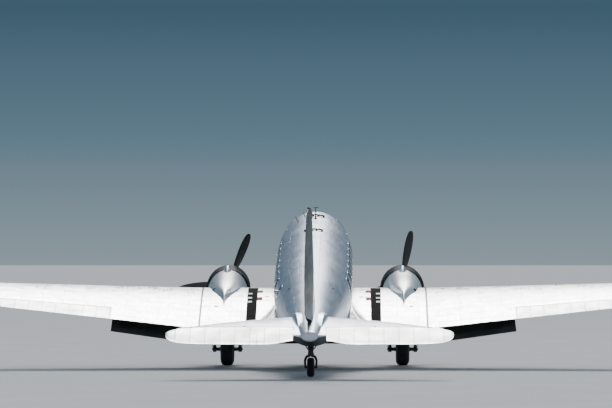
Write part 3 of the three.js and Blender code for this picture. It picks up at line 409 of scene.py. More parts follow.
def glazing(name, tint, alpha):
    look = Look(name, tint, 0.03, 0.0, **{"Transmission Weight": alpha, "IOR": 1.45})
    film = look.ramp(look.noise(5.0, 5.0), 0.4, 0.8)
    look.rough(look.ramp(film, 0.0, 1.0, 0.02, 0.12))
    look.bump(look.noise(3.0, 2.0), 0.0006)
    return look.material


def cloth(name, colour, shade, scale=260.0, rough=0.8, sheen=0.3):
    look = Look(name, colour, rough, 0.0, **{"Sheen Weight": sheen})
    fade = look.ramp(look.noise(5.0, 5.0), 0.3, 0.75)
    look.colour(look.mix(look.math("MULTIPLY", fade, 0.6), colour, shade))
    look.bump(look.math("ADD", look.bands(scale, "X", 0.4), look.bands(scale, "Z", 0.4)), 0.0004)
    return look.material


def leather(name, colour, shade):
    look = Look(name, colour, 0.5, 0.0)
    fade = look.ramp(look.noise(4.0, 5.0), 0.35, 0.75)
    look.colour(look.mix(fade, colour, shade))
    grain = look.node("TexVoronoi", {"Vector": look.where("Object"), "Scale": 190.0})
    look.rough(look.ramp(fade, 0.0, 1.0, 0.42, 0.62))
    look.bump(grain.outputs["Distance"], 0.0008)
    look.bump(look.noise(9.0, 4.0), 0.004)
    return look.material


def lamp_glass(name, colour):
    look = Look(name, colour, 0.08, 0.0, **{"Transmission Weight": 0.35, "Coat Weight": 0.6})
    ribs = look.node("TexWave", {"Vector": look.where("Object"), "Scale": 60.0}, bands_direction="Z")
    look.colour(look.mix(look.math("MULTIPLY", ribs.outputs["Fac"], 0.25), colour, shaded(colour, 0.5)))
    look.bump(ribs.outputs["Fac"], 0.0008)
    return look.material


# Columns: two tones of the panels, roughness from and to, a panel's length and width, and what differs.
METALS = {
    "hull_skin": (((0.74, 0.78, 0.87), (0.64, 0.69, 0.79)), (0.33, 0.46), (1.0, 0.34),
                  {"lines": 0.17, "waves": 0.0003, "relief": 0.0012}),
    "wing_skin": (((0.93, 0.935, 0.95), (0.84, 0.85, 0.88)), (0.24, 0.42), (1.3, 0.42), {"lines": 0.14}),
    "nacelle_metal": (((0.9, 0.91, 0.93), (0.8, 0.81, 0.84)), (0.32, 0.45), (0.9, 0.5),
                      {"waves": 0.0004, "relief": 0.0015}),
    "polished_skin": (((0.86, 0.88, 0.91), (0.74, 0.77, 0.82)), (0.08, 0.2), (0.9, 0.5), {"waves": 0.002}),
    "tail_skin": (((0.80, 0.80, 0.89), (0.72, 0.72, 0.81)), (0.3, 0.46), (0.9, 0.36), {"lines": 0.18}),
}
HULL_SKIN, WING_SKIN, DOME_SKIN, POLISHED, TAIL_SKIN = (
    sheet_metal(name, tones, rough, panel, **rest) for name, (tones, rough, panel, rest) in METALS.items()
)
FABRIC = ribbed_fabric("silver_fabric", (0.97, 0.97, 0.98), 0.4, 0.75)
# The rudder's fabric is dark grey: painted shade, as the silver rudder seen from behind lies in shade.
RUDDER_SHADE_FABRIC = ribbed_fabric("rudder_fabric_painted_shade", (0.11, 0.125, 0.13), 0.5, 0.2)

# Columns: colour, roughness, metal, colour where worn, how much is worn, and what differs.
ROUGH_METALS = {
    # Near black: dark primer darkened further as painted shade, for the flaps' inner sides and bays.
    "flap_inside_primer_and_shade": ((0.03, 0.033, 0.03), 0.6, 0.2, (0.12, 0.12, 0.11), 0.4, {}),
    # The cowl's near-black colour.
    "cowl_black": ((0.008, 0.008, 0.009), 0.6, 0.0, (0.05, 0.048, 0.045), 0.3, {"scale": 3.0, "shine": 0.2}),
    "black_paint": ((0.012, 0.012, 0.013), 0.42, 0.0, (0.1, 0.09, 0.08), 0.3, {}),
    # Black paint of the gear, also used as painted shade on the wing joint straps.
    "gear_paint_and_joint_shade": ((0.02, 0.021, 0.023), 0.4, 0.3, (0.14, 0.12, 0.1), 0.3, {}),
    "bare_steel": ((0.45, 0.46, 0.48), 0.35, 1.0, (0.2, 0.18, 0.16), 0.35, {}),
    "slide_chrome": ((0.85, 0.86, 0.88), 0.08, 1.0, (0.4, 0.38, 0.35), 0.15, {}),
    "crankcase_grey": ((0.2, 0.22, 0.24), 0.45, 0.3, (0.06, 0.05, 0.05), 0.5, {}),
    "cylinder_fins": ((0.035, 0.035, 0.038), 0.5, 0.6, (0.12, 0.1, 0.08), 0.5, {}),
    "burnt_pipe": ((0.16, 0.11, 0.08), 0.55, 0.9, (0.04, 0.035, 0.035), 0.8, {"scale": 8.0}),
    "window_frame": ((0.5, 0.52, 0.54), 0.3, 1.0, (0.25, 0.25, 0.25), 0.3, {}),
    # Black seal, also used as painted shade in openings and gaps.
    "black_seal_and_shade": ((0.015, 0.015, 0.015), 0.7, 0.0, DUST, 0.2, {"scale": 30.0}),
    "green_primer": ((0.16, 0.2, 0.09), 0.6, 0.0, (0.1, 0.11, 0.06), 0.5, {}),
    # Near black: painted shade for the belly under the tail.
    "painted_belly_shade": ((0.008, 0.009, 0.011), 0.6, 0.1, (0.05, 0.052, 0.055), 0.35,
                   {"scale": 3.0, "shine": 0.15}),
    "walkway_grit": ((0.01, 0.01, 0.01), 0.95, 0.0, (0.05, 0.048, 0.045), 0.5,
                     {"grain": 0.003, "shine": 0.05}),
    "white_marking": ((0.8, 0.8, 0.78), 0.5, 0.0, (0.4, 0.4, 0.38), 0.4, {}),
    "red_marking": ((0.3, 0.004, 0.02), 0.6, 0.0, (0.2, 0.05, 0.05), 0.35, {"shine": 0.1}),
}
(
    FLAP_PRIMER_AND_SHADE, COWL_NEAR_BLACK, BLACK_PAINT, GEAR_PAINT_AND_JOINT_SHADE, STEEL, CHROME, ENGINE_GREY, FIN_BLACK,
    BURNT, TRIM, BLACK_SEAL_AND_SHADE, PRIMER, BELLY_SHADE_LOOK, GRIT, MARK_WHITE, MARK_RED,
) = (
    rough_metal(name, colour, rough, metal, wear, amount, **rest)
    for name, (colour, rough, metal, wear, amount, rest) in ROUGH_METALS.items()
)
RUBBER = rubber("tyre_rubber")
GLASS = glazing("window_glass", (0.75, 0.82, 0.84), 0.85)
DARK_GLASS = glazing("cabin_window_glass", (0.03, 0.045, 0.055), 0.1)
LINING = cloth("cabin_lining", (0.42, 0.42, 0.38), (0.33, 0.33, 0.3))
CARPET = cloth("floor_carpet", (0.1, 0.12, 0.13), (0.06, 0.07, 0.08), 180.0, 0.95, 0.5)
LEATHER = leather("seat_leather", (0.13, 0.08, 0.05), (0.08, 0.05, 0.035))
LAMP_RED = lamp_glass("lamp_red", (0.6, 0.02, 0.02))
LAMP_GREEN = lamp_glass("lamp_green", (0.02, 0.45, 0.12))
LAMP_CLEAR = lamp_glass("lamp_clear", (0.85, 0.87, 0.88))


# Fuselage. Columns: station, half width, top, widest line, bottom.
FUSELAGE = fine([
    (0, 60, -350, -420, -490),
    (70, 250, -160, -420, -680),
    (280, 480, 50, -420, -880),
    (650, 710, 290, -390, -1050),
    (1100, 900, 480, -320, -1140),
    (1500, 1010, 640, -250, -1190),
    (1800, 1070, 1010, -190, -1205),
    (2150, 1120, 1220, -130, -1215),
    (2650, 1165, 1300, -60, -1220),
    (3400, 1205, 1325, 0, -1220),
    (5000, 1220, 1330, 0, -1220),
    (8200, 1220, 1320, 0, -1220),
    (9600, 1200, 1295, 20, -1185),
    (11000, 1140, 1245, 80, -1185),
    (12400, 1045, 1185, 150, -1000),
    (13800, 910, 1120, 235, -715),
    (15200, 770, 1060, 335, -410),
    (16600, 650, 1000, 445, -105),
    (17900, 450, 930, 560, 190),
    (18950, 225, 830, 690, 545),
])
CABIN = {"nose": 1100, "cockpit": 3400, "wing": 9300, "tail": 13400}
WALL = 70
GIRTH_RADIUS = 1.22
HULL_SIDES = 96
LINING_SIDES = 64
LINING_FRONT = 1180
NOSE_TIP = at(0, -10, -420)
TAIL_END = 18950
TAIL_TIP = at(0, TAIL_END, 690)
# The belly's flat over the wing: where it starts and ends, its height at the start, and its slope.
BELLY = {"from": 5300, "to": 9232, "z": -1050, "drop": 111}
# Painted shade under the tail: where it starts and ends, how far aft it spreads, and its narrowest and widest
# reach in degrees.
BELLY_SHADE_REACH = {"from": 13500, "to": 18900, "spreads": 2900, "narrow": 12, "wider": 65}


def hull_at(station, angle, inset=0.0):
    _, half, top, wide, bottom = row_at(FUSELAGE, station)
    tall = top - wide if math.sin(angle) >= 0 else wide - bottom
    return at((half - inset) * math.cos(angle), station, wide + (tall - inset) * math.sin(angle))


# The angle round the hull at which its side has a height.
def hull_angle(station, z):
    _, _, top, wide, bottom = row_at(FUSELAGE, station)
    tall = top - wide if z >= wide else wide - bottom
    return math.asin(max(-1.0, min(1.0, (z - wide) / tall)))


# A point on one side of the hull at a height, moved outwards by an offset.
def hull_side(side, station, z, offset=0.0):
    point = hull_at(station, hull_angle(station, z), -offset)
    return Vector((point.x * side, point.y, point.z))


def mirror(points, side):
    return [Vector((p.x * side, p.y, p.z)) for p in points]


def hull_uv(point, centre):
    station = -centre.y / MM
    _, half, top, wide, bottom = row_at(FUSELAGE, max(1.0, min(18949.0, station)))

    def angle(p):
        up = p.z / MM - wide
        return math.atan2(up / (top - wide if up >= 0 else wide - bottom), p.x / MM / half)

    middle = angle(centre)
    middle += 2 * math.pi if middle < -math.pi / 2 else 0
    turn = angle(point)
    turn += 2 * math.pi * round((middle - turn) / (2 * math.pi))
    return (-point.y, turn * GIRTH_RADIUS)


def hull_rings(start, end, inset=0.0, sides=HULL_SIDES):
    stations = [start, *(row[0] for row in FUSELAGE if start + 5 < row[0] < end - 5), end]
    return [
        [hull_at(s, -math.pi / 2 + 2 * math.pi * i / sides, inset) for i in range(sides)] for s in stations
    ]


# Windscreen: two flat panes that lean back and sweep back from the centre post.
SILL = 590
PANE = {"sill": at(0, 1400, SILL), "brow": at(0, 2010, 1190), "outer": at(800, 1830, SILL)}
PANE_OPENING = ((110, 110), (720, 110), (500, 560), (110, 620))
SIDE_WINDOW = {"from": 2080, "to": 2620, "low": 520, "high": 980}


def pane_axes(side):
    across = (PANE["outer"] - PANE["sill"]).normalized()
    up = (PANE["brow"] - PANE["sill"]).normalized()
    out = across.cross(up).normalized()
    if out.y < 0:
        out = -out
    return [Vector((axis.x * side, axis.y, axis.z)) for axis in (across, up, out)]


def pane_point(side, u, v, out=0.0):
    across, up, ahead = pane_axes(side)
    return PANE["sill"] + (across * u + up * v + ahead * out) * MM


def opening_planes(side, within, opening):
    """The planes of an opening in the hull's side, beyond a place across and inside four edges."""
    return [
        (at(within * side, 0, 0), Vector((side, 0, 0))),
        (at(0, opening["from"], 0), AFT),
        (at(0, opening["to"], 0), FORWARD),
        (at(0, 0, opening["low"]), UP),
        (at(0, 0, opening["high"]), DOWN),
    ]


# Cuts the windscreen's and the quarter windows' openings, the windscreen's at a depth and above a height.
def cut_cockpit(bm, deep, sill):
    for _, side in SIDES:
        ahead = pane_axes(side)[2]
        carve(bm, [
            (PANE["sill"] - ahead * deep * MM, ahead),
            (at(0, 0, sill), UP),
            (at(0, 0, 0), Vector((side, 0, 0))),
        ])
        carve(bm, opening_planes(side, 600, SIDE_WINDOW))


# Where one pane's plane meets the hull, from the crest down to the sill.
def pane_edge(side):
    def ahead_of_pane(point):
        return (point - PANE["sill"]).dot(pane_axes(side)[2]) > 0

    def point_at(station, angle):
        return mirror([hull_at(station, angle)], side)[0]

    line = []
    for i in range(24):
        angle = math.pi / 2 - (math.pi / 2) * i / 23 * 0.86
        station = crossing(lambda s: ahead_of_pane(point_at(s, angle)), 1380.0, 2600.0)
        point = point_at(station, angle)
        if point.z < SILL * MM:
            break
        line.append(point)
    station = crossing(lambda s: ahead_of_pane(hull_side(side, s, SILL)), 1400.0, 2200.0)
    return [*line, hull_side(side, station, SILL)]


def rounded(points, radius, steps=4):
    out = []
    for i, corner in enumerate(points):
        before, after = points[i - 1], points[(i + 1) % len(points)]
        a = (before - corner).normalized() * radius * MM
        b = (after - corner).normalized() * radius * MM
        for k in range(steps + 1):
            t = k / steps
            out.append(corner + a * (1 - t) ** 2 + b * t**2)
    return out


# The same closed outline with more points, none further apart than a step.
def closely(points, step):
    out = []
    for i, point in enumerate(points):
        after = points[(i + 1) % len(points)]
        count = max(1, math.ceil((after - point).length / step))
        out += [point.lerp(after, k / count) for k in range(count)]
    return out


def strip(bm, outer, inner, slot=0):
    count = len(outer)
    a, b = [bm.verts.new(p) for p in outer], [bm.verts.new(p) for p in inner]
    for i in range(count):
        j = (i + 1) % count
        bm.faces.new((a[i], a[j], b[j], b[i])).material_index = slot


def build_cockpit():
    bm = bmesh.new()
    skin(bm, hull_rings(CABIN["nose"], CABIN["cockpit"]), caps=False)
    cut_cockpit(bm, 0, SILL)
    for _, side in SIDES:
        edge = pane_edge(side)
        opening = rounded([pane_point(side, u, v) for u, v in PANE_OPENING], 28)
        plate(bm, [PANE["sill"], *edge], [opening])
        stations = spread(1300, -edge[-1].y / MM, 24)
        reach = [hull_side(side, s, SILL) for s in stations if row_at(FUSELAGE, s)[2] > SILL + 2]
        front = at(0, -reach[0].y / MM - 2, SILL)
        plate(bm, [PANE["sill"], front, *reach])
    piece("cockpit_skin", bm, HULL_SKIN, replaces="cockpit", uv=hull_uv)

    bm = bmesh.new()
    rings = hull_rings(LINING_FRONT, CABIN["cockpit"], WALL, LINING_SIDES)
    skin(bm, rings, caps=False)
    skin(bm, [rings[0], [at(0, LINING_FRONT, -330)] * LINING_SIDES], caps=False)
    cut_cockpit(bm, WALL, 520)
    piece("cockpit_lining", bm, PRIMER)

    bm = bmesh.new()
    for _, side in SIDES:
        outward = pane_axes(side)[2] * MM
        hole = rounded([pane_point(side, u, v) for u, v in PANE_OPENING], 28)
        middle = sum(hole, Vector()) / len(hole)
        wide = [p + (p - middle).normalized() * 0.034 for p in hole]
        rims = [(wide, 1), (wide, 9), (hole, 9), (hole, -60)]
        for (a, low), (b, high) in zip(rims, rims[1:]):
            strip(bm, [p + outward * low for p in a], [p + outward * high for p in b])
        low, high = (SIDE_WINDOW["from"], SIDE_WINDOW["low"]), (SIDE_WINDOW["to"], SIDE_WINDOW["high"])
        corners = [low, (high[0], low[1]), high, (low[0], high[1])]
        steps = []
        for (s0, z0), (s1, z1) in zip(corners, corners[1:] + corners[:1]):
            steps += [(s0 + (s1 - s0) * k / 6, z0 + (z1 - z0) * k / 6) for k in range(6)]
        centre = [(a + b) / 2 for a, b in zip(low, high)]
        grown = [[v + math.copysign(26, v - middle) for v, middle in zip(step, centre)] for step in steps]
        rims = [
            [hull_side(side, s, z, 2) for s, z in grown],
            [hull_side(side, s, z, 9) for s, z in grown],
            [hull_side(side, s, z, 9) for s, z in steps],
            [hull_side(side, s, z, -60) for s, z in steps],
        ]
        for a, b in zip(rims, rims[1:]):
            strip(bm, a, b)
        # The post between the quarter window's two lights.
        post = [hull_side(side, 2350, z, 4) for z in spread(SIDE_WINDOW["low"], SIDE_WINDOW["high"], 6)]
        tube(bm, post, 14, 8)
    tube(bm, [pane_point(1, 0, v, 4) for v in spread(0, 850, 6)], 20, 8)
    piece("cockpit_frames", bm, TRIM)

    for word, side in SIDES:
        bm = bmesh.new()
        rows = [
            [hull_side(side, s, z, -6) for z in spread(SIDE_WINDOW["low"] - 4, SIDE_WINDOW["high"] + 4, 8)]
            for s in spread(SIDE_WINDOW["from"] - 4, SIDE_WINDOW["to"] + 4, 8)
        ]
        sheet(bm, rows)
        piece(f"quarter_glass_{word}", bm, GLASS, replaces=f"cockpit_window_{word}")
    for word in ("right", "left"):
        frame["nodes"][f"windscreen_{word}"].data.materials[0] = GLASS


# Passenger door, in the left side, with the hinge lugs' height and how far each stands from the widest line.
DOOR = {"from": 11450, "to": 12260, "low": -500, "high": 960}
PANEL_GAP = 8
LUG = {"tall": 50, "spacing": 290}
DOOR_WINDOW = (11640, 11980, 330, 700)
# Columns: station, height, distance out of the skin.
DOOR_GRIP = (
    (12110, 150, 2), (12110, 150, 22), (12100, 152, 30), (12030, 168, 32), (11990, 176, 30), (11975, 180, 14),
)


def door_planes():
    return opening_planes(-1, 0, DOOR)


# A pane set in the hull's side: dark glass in a raised frame. Window is (from, to, low, high).
def hull_window(bm, side, window):
    s0, s1, z0, z1 = window
    middle = ((s0 + s1) / 2, (z0 + z1) / 2)
    flat = [Vector((s, z, 0)) * MM for s, z in ((s0, z0), (s1, z0), (s1, z1), (s0, z1))]
    places = [(p.x / MM, p.y / MM) for p in closely(rounded(flat, 70, 5), 0.04)]

    def ring(share, offset):
        grown = [[m + (v - m) * share for v, m in zip(place, middle)] for place in places]
        return [hull_side(side, s, z, offset) for s, z in grown]

    for share, inner in ((1.0, 0.7), (0.7, 0.35), (0.35, 0.02)):
        strip(bm, ring(share, 3), ring(inner, 3), slot=1)
    for outer, inner in (((1.0, 8), (1.0, 3)), ((1.14, 8), (1.0, 8)), ((1.16, 0.5), (1.14, 8))):
        strip(bm, ring(*outer), ring(*inner))


def build_door():
    low, high = DOOR["low"] + PANEL_GAP, DOOR["high"] - PANEL_GAP
    start, end = DOOR["from"] + PANEL_GAP, DOOR["to"] - PANEL_GAP - 2
    heights = spread(low, high, 30)
    bm = bmesh.new()
    outer = [[hull_side(-1, s, z) for z in heights] for s in spread(start, end, 14)]
    inner = [[hull_side(-1, s, z, -WALL) for z in heights] for s in spread(start, end - 22, 14)]
    rings = [outer[0], *outer[1:], *inner[::-1]]
    sheet(bm, rings)
    for i in (0, -1):
        rim = [*(row[i] for row in outer), *(row[i] for row in inner[::-1])]
        bm.faces.new([bm.verts.new(p) for p in rim])
    for k in range(len(heights) - 1):
        bm.faces.new([bm.verts.new(p) for p in (outer[0][k], outer[0][k + 1], inner[0][k + 1], inner[0][k])])
    piece("door_leaf", bm, HULL_SKIN, "passenger_door", "passenger_door", uv=hull_uv)

    bm = bmesh.new()
    hull_window(bm, -1, DOOR_WINDOW)
    piece("door_window", bm, [TRIM, DARK_GLASS], "passenger_door")

    # Hinge eyes on the leaf, and the handle.
    _, half, _, wide, _ = row_at(FUSELAGE, DOOR["from"])
    x, edge, tall = -half - 26, DOOR["from"], LUG["tall"]
    bm = bmesh.new()
    wall = bmesh.new()
    for z in (wide - LUG["spacing"], wide + LUG["spacing"]):
        slab(bm, (x - 12, edge - 12, z), (x + 12, edge + 60, z + tall), 5)
        slab(bm, (x, edge + 11, z), (x + 115, edge + 60, z + tall), 5)
        slab(wall, (x - 12, edge - 80, z + tall + 4), (x + 12, edge + 12, z + 2 * tall), 5)
        slab(wall, (x, edge - 80, z + tall + 4), (x + 115, edge - 6, z + 2 * tall), 5)
    grip = [hull_side(-1, *place) for place in DOOR_GRIP]
    tube(bm, bend(grip), 8, 10)
    piece("door_fittings", bm, STEEL, "passenger_door")
    piece("door_hinge_blocks", wall, STEEL)


TAIL_CAP = ((0.95, 9), (0.82, 17), (0.6, 22), (0.3, 24), (0.0, 25))  # share of the last ring, distance aft
CABIN_WINDOWS = {"first": 4230, "pitch": 960, "count": 7, "wide": 430, "low": 230, "high": 620}


def build_cabin():
    bm = bmesh.new()
    rings = hull_rings(0, CABIN["nose"])
    dome = [NOSE_TIP + (p - NOSE_TIP) * 0.6 for p in rings[0]]
    skin(bm, [[NOSE_TIP] * HULL_SIDES, dome, *rings], caps=False)
    piece("nose_skin", bm, HULL_SKIN, replaces="nose", uv=hull_uv)
    build_cockpit()

    bm = bmesh.new()
    skin(bm, hull_rings(CABIN["cockpit"], CABIN["wing"]), caps=False)
    # Nothing of the belly hangs below the wing's trailing edge.
    below = Vector((0, BELLY["drop"], BELLY["from"] - BELLY["to"])).normalized()
    ends = [(at(0, BELLY["from"], 0), AFT), (at(0, BELLY["to"], 0), FORWARD)]
    carve(bm, [(at(0, BELLY["from"], BELLY["z"]), below), *ends])
    piece("cabin_front_skin", bm, HULL_SKIN, replaces="cabin_front", uv=hull_uv)

    bm = bmesh.new()
    skin(bm, hull_rings(CABIN["wing"], CABIN["tail"]), caps=False)
    carve(bm, door_planes())
    heights, stations = spread(DOOR["low"], DOOR["high"], 30), spread(DOOR["from"], DOOR["to"], 12)
    for s in (DOOR["from"], DOOR["to"]):
        sheet(bm, [[hull_side(-1, s, z, off) for z in heights] for off in (0, -WALL)])
    for z in (DOOR["low"], DOOR["high"]):
        sheet(bm, [[hull_side(-1, s, z, off) for s in stations] for off in (0, -WALL)])
    piece("cabin_rear_skin", bm, HULL_SKIN, replaces="cabin_rear", uv=hull_uv)

    bm = bmesh.new()
    rings = hull_rings(CABIN["cockpit"], CABIN["tail"], WALL, LINING_SIDES)
    skin(bm, rings, caps=False)
    skin(bm, [rings[-1], [at(0, CABIN["tail"], 150)] * LINING_SIDES], caps=False)
    carve(bm, door_planes())
    piece("cabin_lining", bm, LINING)

    bm = bmesh.new()
    tail = hull_rings(CABIN["tail"], TAIL_END)
    spokes = [p - TAIL_TIP for p in tail[-1]]
    caps = [[TAIL_TIP + spoke * share + at(0, back, 0) for spoke in spokes] for share, back in TAIL_CAP]
    skin(bm, [*tail, *caps], caps=False)
    piece("tail_cone_skin", bm, HULL_SKIN, replaces="tail_cone", uv=hull_uv)

    # Painted shade: a near-black sheet over the belly under the tail, where it lies in shadow, in a streak
    # that widens aft.
    bm = bmesh.new()
    rows = []
    for station in spread(BELLY_SHADE_REACH["from"], BELLY_SHADE_REACH["to"], 40):
        share = min(1, (station - BELLY_SHADE_REACH["from"]) / BELLY_SHADE_REACH["spreads"])
        reach = math.radians(BELLY_SHADE_REACH["narrow"] + BELLY_SHADE_REACH["wider"] * share**0.8)
        angles = spread(-math.pi / 2 - reach, -math.pi / 2 + reach, 40)
        rows.append([hull_at(station, angle, -2) for angle in angles])
    sheet(bm, rows)
    piece("belly_shade_sheet", bm, BELLY_SHADE_LOOK)

    bm = bmesh.new()
    for _, side in SIDES:
        for i in range(CABIN_WINDOWS["count"]):
            start = CABIN_WINDOWS["first"] + i * CABIN_WINDOWS["pitch"]
            window = (start, start + CABIN_WINDOWS["wide"], CABIN_WINDOWS["low"], CABIN_WINDOWS["high"])
            hull_window(bm, side, window)
    piece("cabin_windows", bm, [TRIM, DARK_GLASS])


build_cabin()
build_door()


# Wing sections, as the CAD source has them. Places along the chord run from 0 to 1, and a level from -1
# at the lower skin to 1 at the upper.
WING_LE = 4900
WING_LE_Z = -965
WING_SWEEP = 0.23
WING_TAPER = 0.04
TIP_START = 13300
EDGE = 8
MOVING_GAP = 9
NOSE_SHARE = 0.97
FLAP_START = 0.84
FLAP_THICK = 26
FLAP_EDGE = 4
FLAP_DOWN = math.radians(45)
FLAP_ENDS = {"centre": 3500, "inner": 3650, "outer": 6230}
FLAP_END_GAP = 12
AILERON = {"inner": 6290, "outer": 13250, "start": 0.76}
CHORD_STEPS = 26


PROFILE = {"camber": 0.02, "camber_at": 0.15}


def profile_heights(t, thickness):
    camber, camber_at = PROFILE["camber"], PROFILE["camber_at"]
    t = max(0.0, min(1.0, t))
    half = 5 * thickness * (
        0.2969 * math.sqrt(t) - 0.126 * t - 0.3516 * t**2 + 0.2843 * t**3 - 0.1036 * t**4
    )
    if t < camber_at:
        return half, camber / camber_at**2 * (2 * camber_at * t - t * t)
    return half, camber / (1 - camber_at) ** 2 * (1 - 2 * camber_at + 2 * camber_at * t - t * t)


def wing_form(x):
    out = max(0.0, x - JOINT_X)
    chord = CHORD - out * (WING_SWEEP + WING_TAPER)
    le = WING_LE + out * WING_SWEEP
    z = WING_LE_Z + out * DIHEDRAL
    thickness = 0.15 - 0.07 * out / (HALF_SPAN - JOINT_X)
    tip = max(0.0, (x - TIP_START) / (HALF_SPAN - TIP_START))
    draw = math.sqrt(max(0.02, 1 - min(1.0, tip) ** 2))
    lost = chord * (1 - draw)
    return chord - lost, le + 0.45 * lost, z + 30 * tip * tip, thickness * (0.35 + 0.65 * draw)


def wing_point(x, t, level, side=1, offset=0.0):
    chord, le, z, thickness = wing_form(abs(x))
    half, mean = profile_heights(t, thickness)
    along = t * chord
    height = mean * chord + level * max(half * chord, EDGE * t) + offset * (1 if level > 0 else -1)
    return at(
        x * side,
        le + along * math.cos(WING_INCIDENCE),
        z - along * math.sin(WING_INCIDENCE) + height,
    )


def chord_places(start, end, count=CHORD_STEPS):
    """Places along the chord, closer together near the leading edge."""
    a, b = math.acos(1 - 2 * start), math.acos(1 - 2 * end)
    return [0.5 * (1 - math.cos(a + (b - a) * i / (count - 1))) for i in range(count)]


# The point of a spanwise line that lies in the plane square to a hinge through an anchor.
def squared(point_at, anchor, along, x):
    for _ in range(5):
        x -= (point_at(x) - anchor).dot(along) / MM
    return point_at(x)


def centre_point(x, t, level):
    point = wing_point(JOINT_X, t, level)
    return Vector((x * MM, point.y, point.z))


# An arc round a hinge from one side of a section to the other, in the plane of the chord and a way across.
def nose_arc(hinge, radius, start, end, across=UP):
    a, b = (math.atan2((p - hinge).dot(across), (p - hinge).y) for p in (start, end))
    return [hinge + (Vector((0, math.cos(v), 0)) + across * math.sin(v)) * radius for v in spread(a, b, 13)]


# The place ahead of a hinge where a circle round it meets the skin.
def cove_place(point_of, hinge, start, radius):
    return crossing(lambda t: (point_of(t) - hinge).length > radius, start - 0.12, start, 24)


def aileron_hinge(x):
    return wing_point(x, AILERON["start"], 0)


def flap_hinge(x):
    return wing_point(x, FLAP_START, -1)


def straight(a, b, t):
    return a + (b - a) * t


AILERON_A, AILERON_B = aileron_hinge(AILERON["inner"]), aileron_hinge(AILERON["outer"])
AILERON_ALONG = (AILERON_B - AILERON_A).normalized()
FLAP_A, FLAP_B = flap_hinge(FLAP_ENDS["inner"]), flap_hinge(FLAP_ENDS["outer"])
FLAP_ALONG = (FLAP_B - FLAP_A).normalized()


def plain_section(point_of, count=CHORD_STEPS):
    upper = [point_of(t, 1) for t in chord_places(1, 0, count)]
    lower = [point_of(t, -1) for t in chord_places(0, 1, count)[1:]]
    return [*upper, *lower]


# The wing over a split flap: the upper skin runs on to the trailing edge over the flap's bay.
def bay_section(point_of):
    upper = [point_of(t, 1) for t in chord_places(1, 0)]
    ahead = point_of(FLAP_START, -1) + at(0, -38, 0)
    lower = [point_of(t, -1) for t in chord_places(0, FLAP_START - 0.01)[1:]]
    edge = (point_of(1, 1) + point_of(1, -1)) / 2
    return [*upper, *lower, ahead, ahead + at(0, 0, FLAP_THICK + 8), edge + at(0, 0, 1.5)]


# A fixed surface ahead of a hinged one, with a hollow round the hinged one's nose.
def cove_section(point_of, start, across=UP, count=CHORD_STEPS):
    hinge = point_of(start, 0)
    radius = (point_of(start, 1) - hinge).length * NOSE_SHARE + MOVING_GAP * MM
    top = cove_place(lambda t: point_of(t, 1), hinge, start, radius)
    bottom = cove_place(lambda t: point_of(t, -1), hinge, start, radius)
    upper = [point_of(t, 1) for t in chord_places(top, 0, count)]
    lower = [point_of(t, -1) for t in chord_places(0, bottom, count)[1:]]
    hollow = nose_arc(hinge, radius, upper[0], lower[-1], across)
    return [*upper, *lower, *hollow[::-1][1:-1]]


# A hinged surface behind its line: skins to the trailing edge and a round nose.
def moving_section(point_of, start, across=UP, count=18):
    hinge = point_of(start, 0)
    upper = [point_of(t, 1) for t in chord_places(1, start, count)]
    lower = [point_of(t, -1) for t in chord_places(start, 1, count)]
    radius = (upper[-1] - hinge).length * NOSE_SHARE
    ahead = FORWARD * 1e-6
    return [*upper, *nose_arc(hinge, radius, upper[-1] + ahead, lower[0] + ahead, across)[1:-1], *lower]


def span_uv(point, centre):
    return (point.x, -point.y)


def upright_uv(point, centre):
    return (point.z, -point.y)


def build_wing(word, side):
    bm = bmesh.new()

    def at_x(x):
        return lambda t, level: wing_point(x, t, level)

    def square_to(hinge, along):
        def at_hinge(x):
            return lambda t, level: squared(lambda place: wing_point(place, t, level), hinge(x), along, x)

        return at_hinge

    at_flap, at_aileron = square_to(flap_hinge, FLAP_ALONG), square_to(aileron_hinge, AILERON_ALONG)

    inner, outer = FLAP_ENDS["inner"] - FLAP_END_GAP, FLAP_ENDS["outer"] + FLAP_END_GAP
    bay_in, bay_out = AILERON["inner"] - MOVING_GAP, AILERON["outer"] + MOVING_GAP
    segments = [
        [plain_section(at_x(JOINT_X)), plain_section(at_flap(inner))],
        [bay_section(at_flap(x)) for x in spread(inner, outer, 6)],
        [plain_section(at_flap(outer)), plain_section(at_aileron(bay_in))],
        [cove_section(at_aileron(x), AILERON["start"]) for x in spread(bay_in, bay_out, 12)],
    ]
    tips = [*spread(TIP_START + 60, 14200, 7), 14300, 14380, 14430, 14462, 14478]
    segments.append([plain_section(at_aileron(bay_out)), *(plain_section(at_x(x)) for x in tips)])
    for segment in segments:
        skin(bm, [mirror(ring, side) for ring in segment])
    bmesh.ops.recalc_face_normals(bm, faces=bm.faces)
    # The flap bay's lower faces take the near-black of painted shade.
    for face in bm.faces:
        centre = face.calc_center_median()
        x = abs(centre.x) / MM
        chord, le, _, _ = wing_form(x)
        behind = (-centre.y / MM - le) / chord
        low = wing_point(min(x, 14400), min(1.0, max(0.0, behind)), 0).z
        if inner < x < outer and behind > FLAP_START - 0.02 and face.normal.z < 0.5 and centre.z < low + 0.03:
            face.material_index = 1
    looks = [WING_SKIN, FLAP_PRIMER_AND_SHADE]
    piece(f"wing_skin_{word}", bm, looks, replaces=f"wing_{word}", uv=span_uv)

    bm = bmesh.new()
    places = spread(AILERON["inner"], AILERON["outer"], 12)
    skin(bm, [mirror(moving_section(at_aileron(x), AILERON["start"]), side) for x in places])
    piece(f"aileron_skin_{word}", bm, FABRIC, f"aileron_{word}", f"aileron_{word}", uv=span_uv)

    places = spread(FLAP_ENDS["inner"], FLAP_ENDS["outer"], 6)
    build_flap(f"flap_{word}", side, (FLAP_A, FLAP_B), at_flap, places, 7)
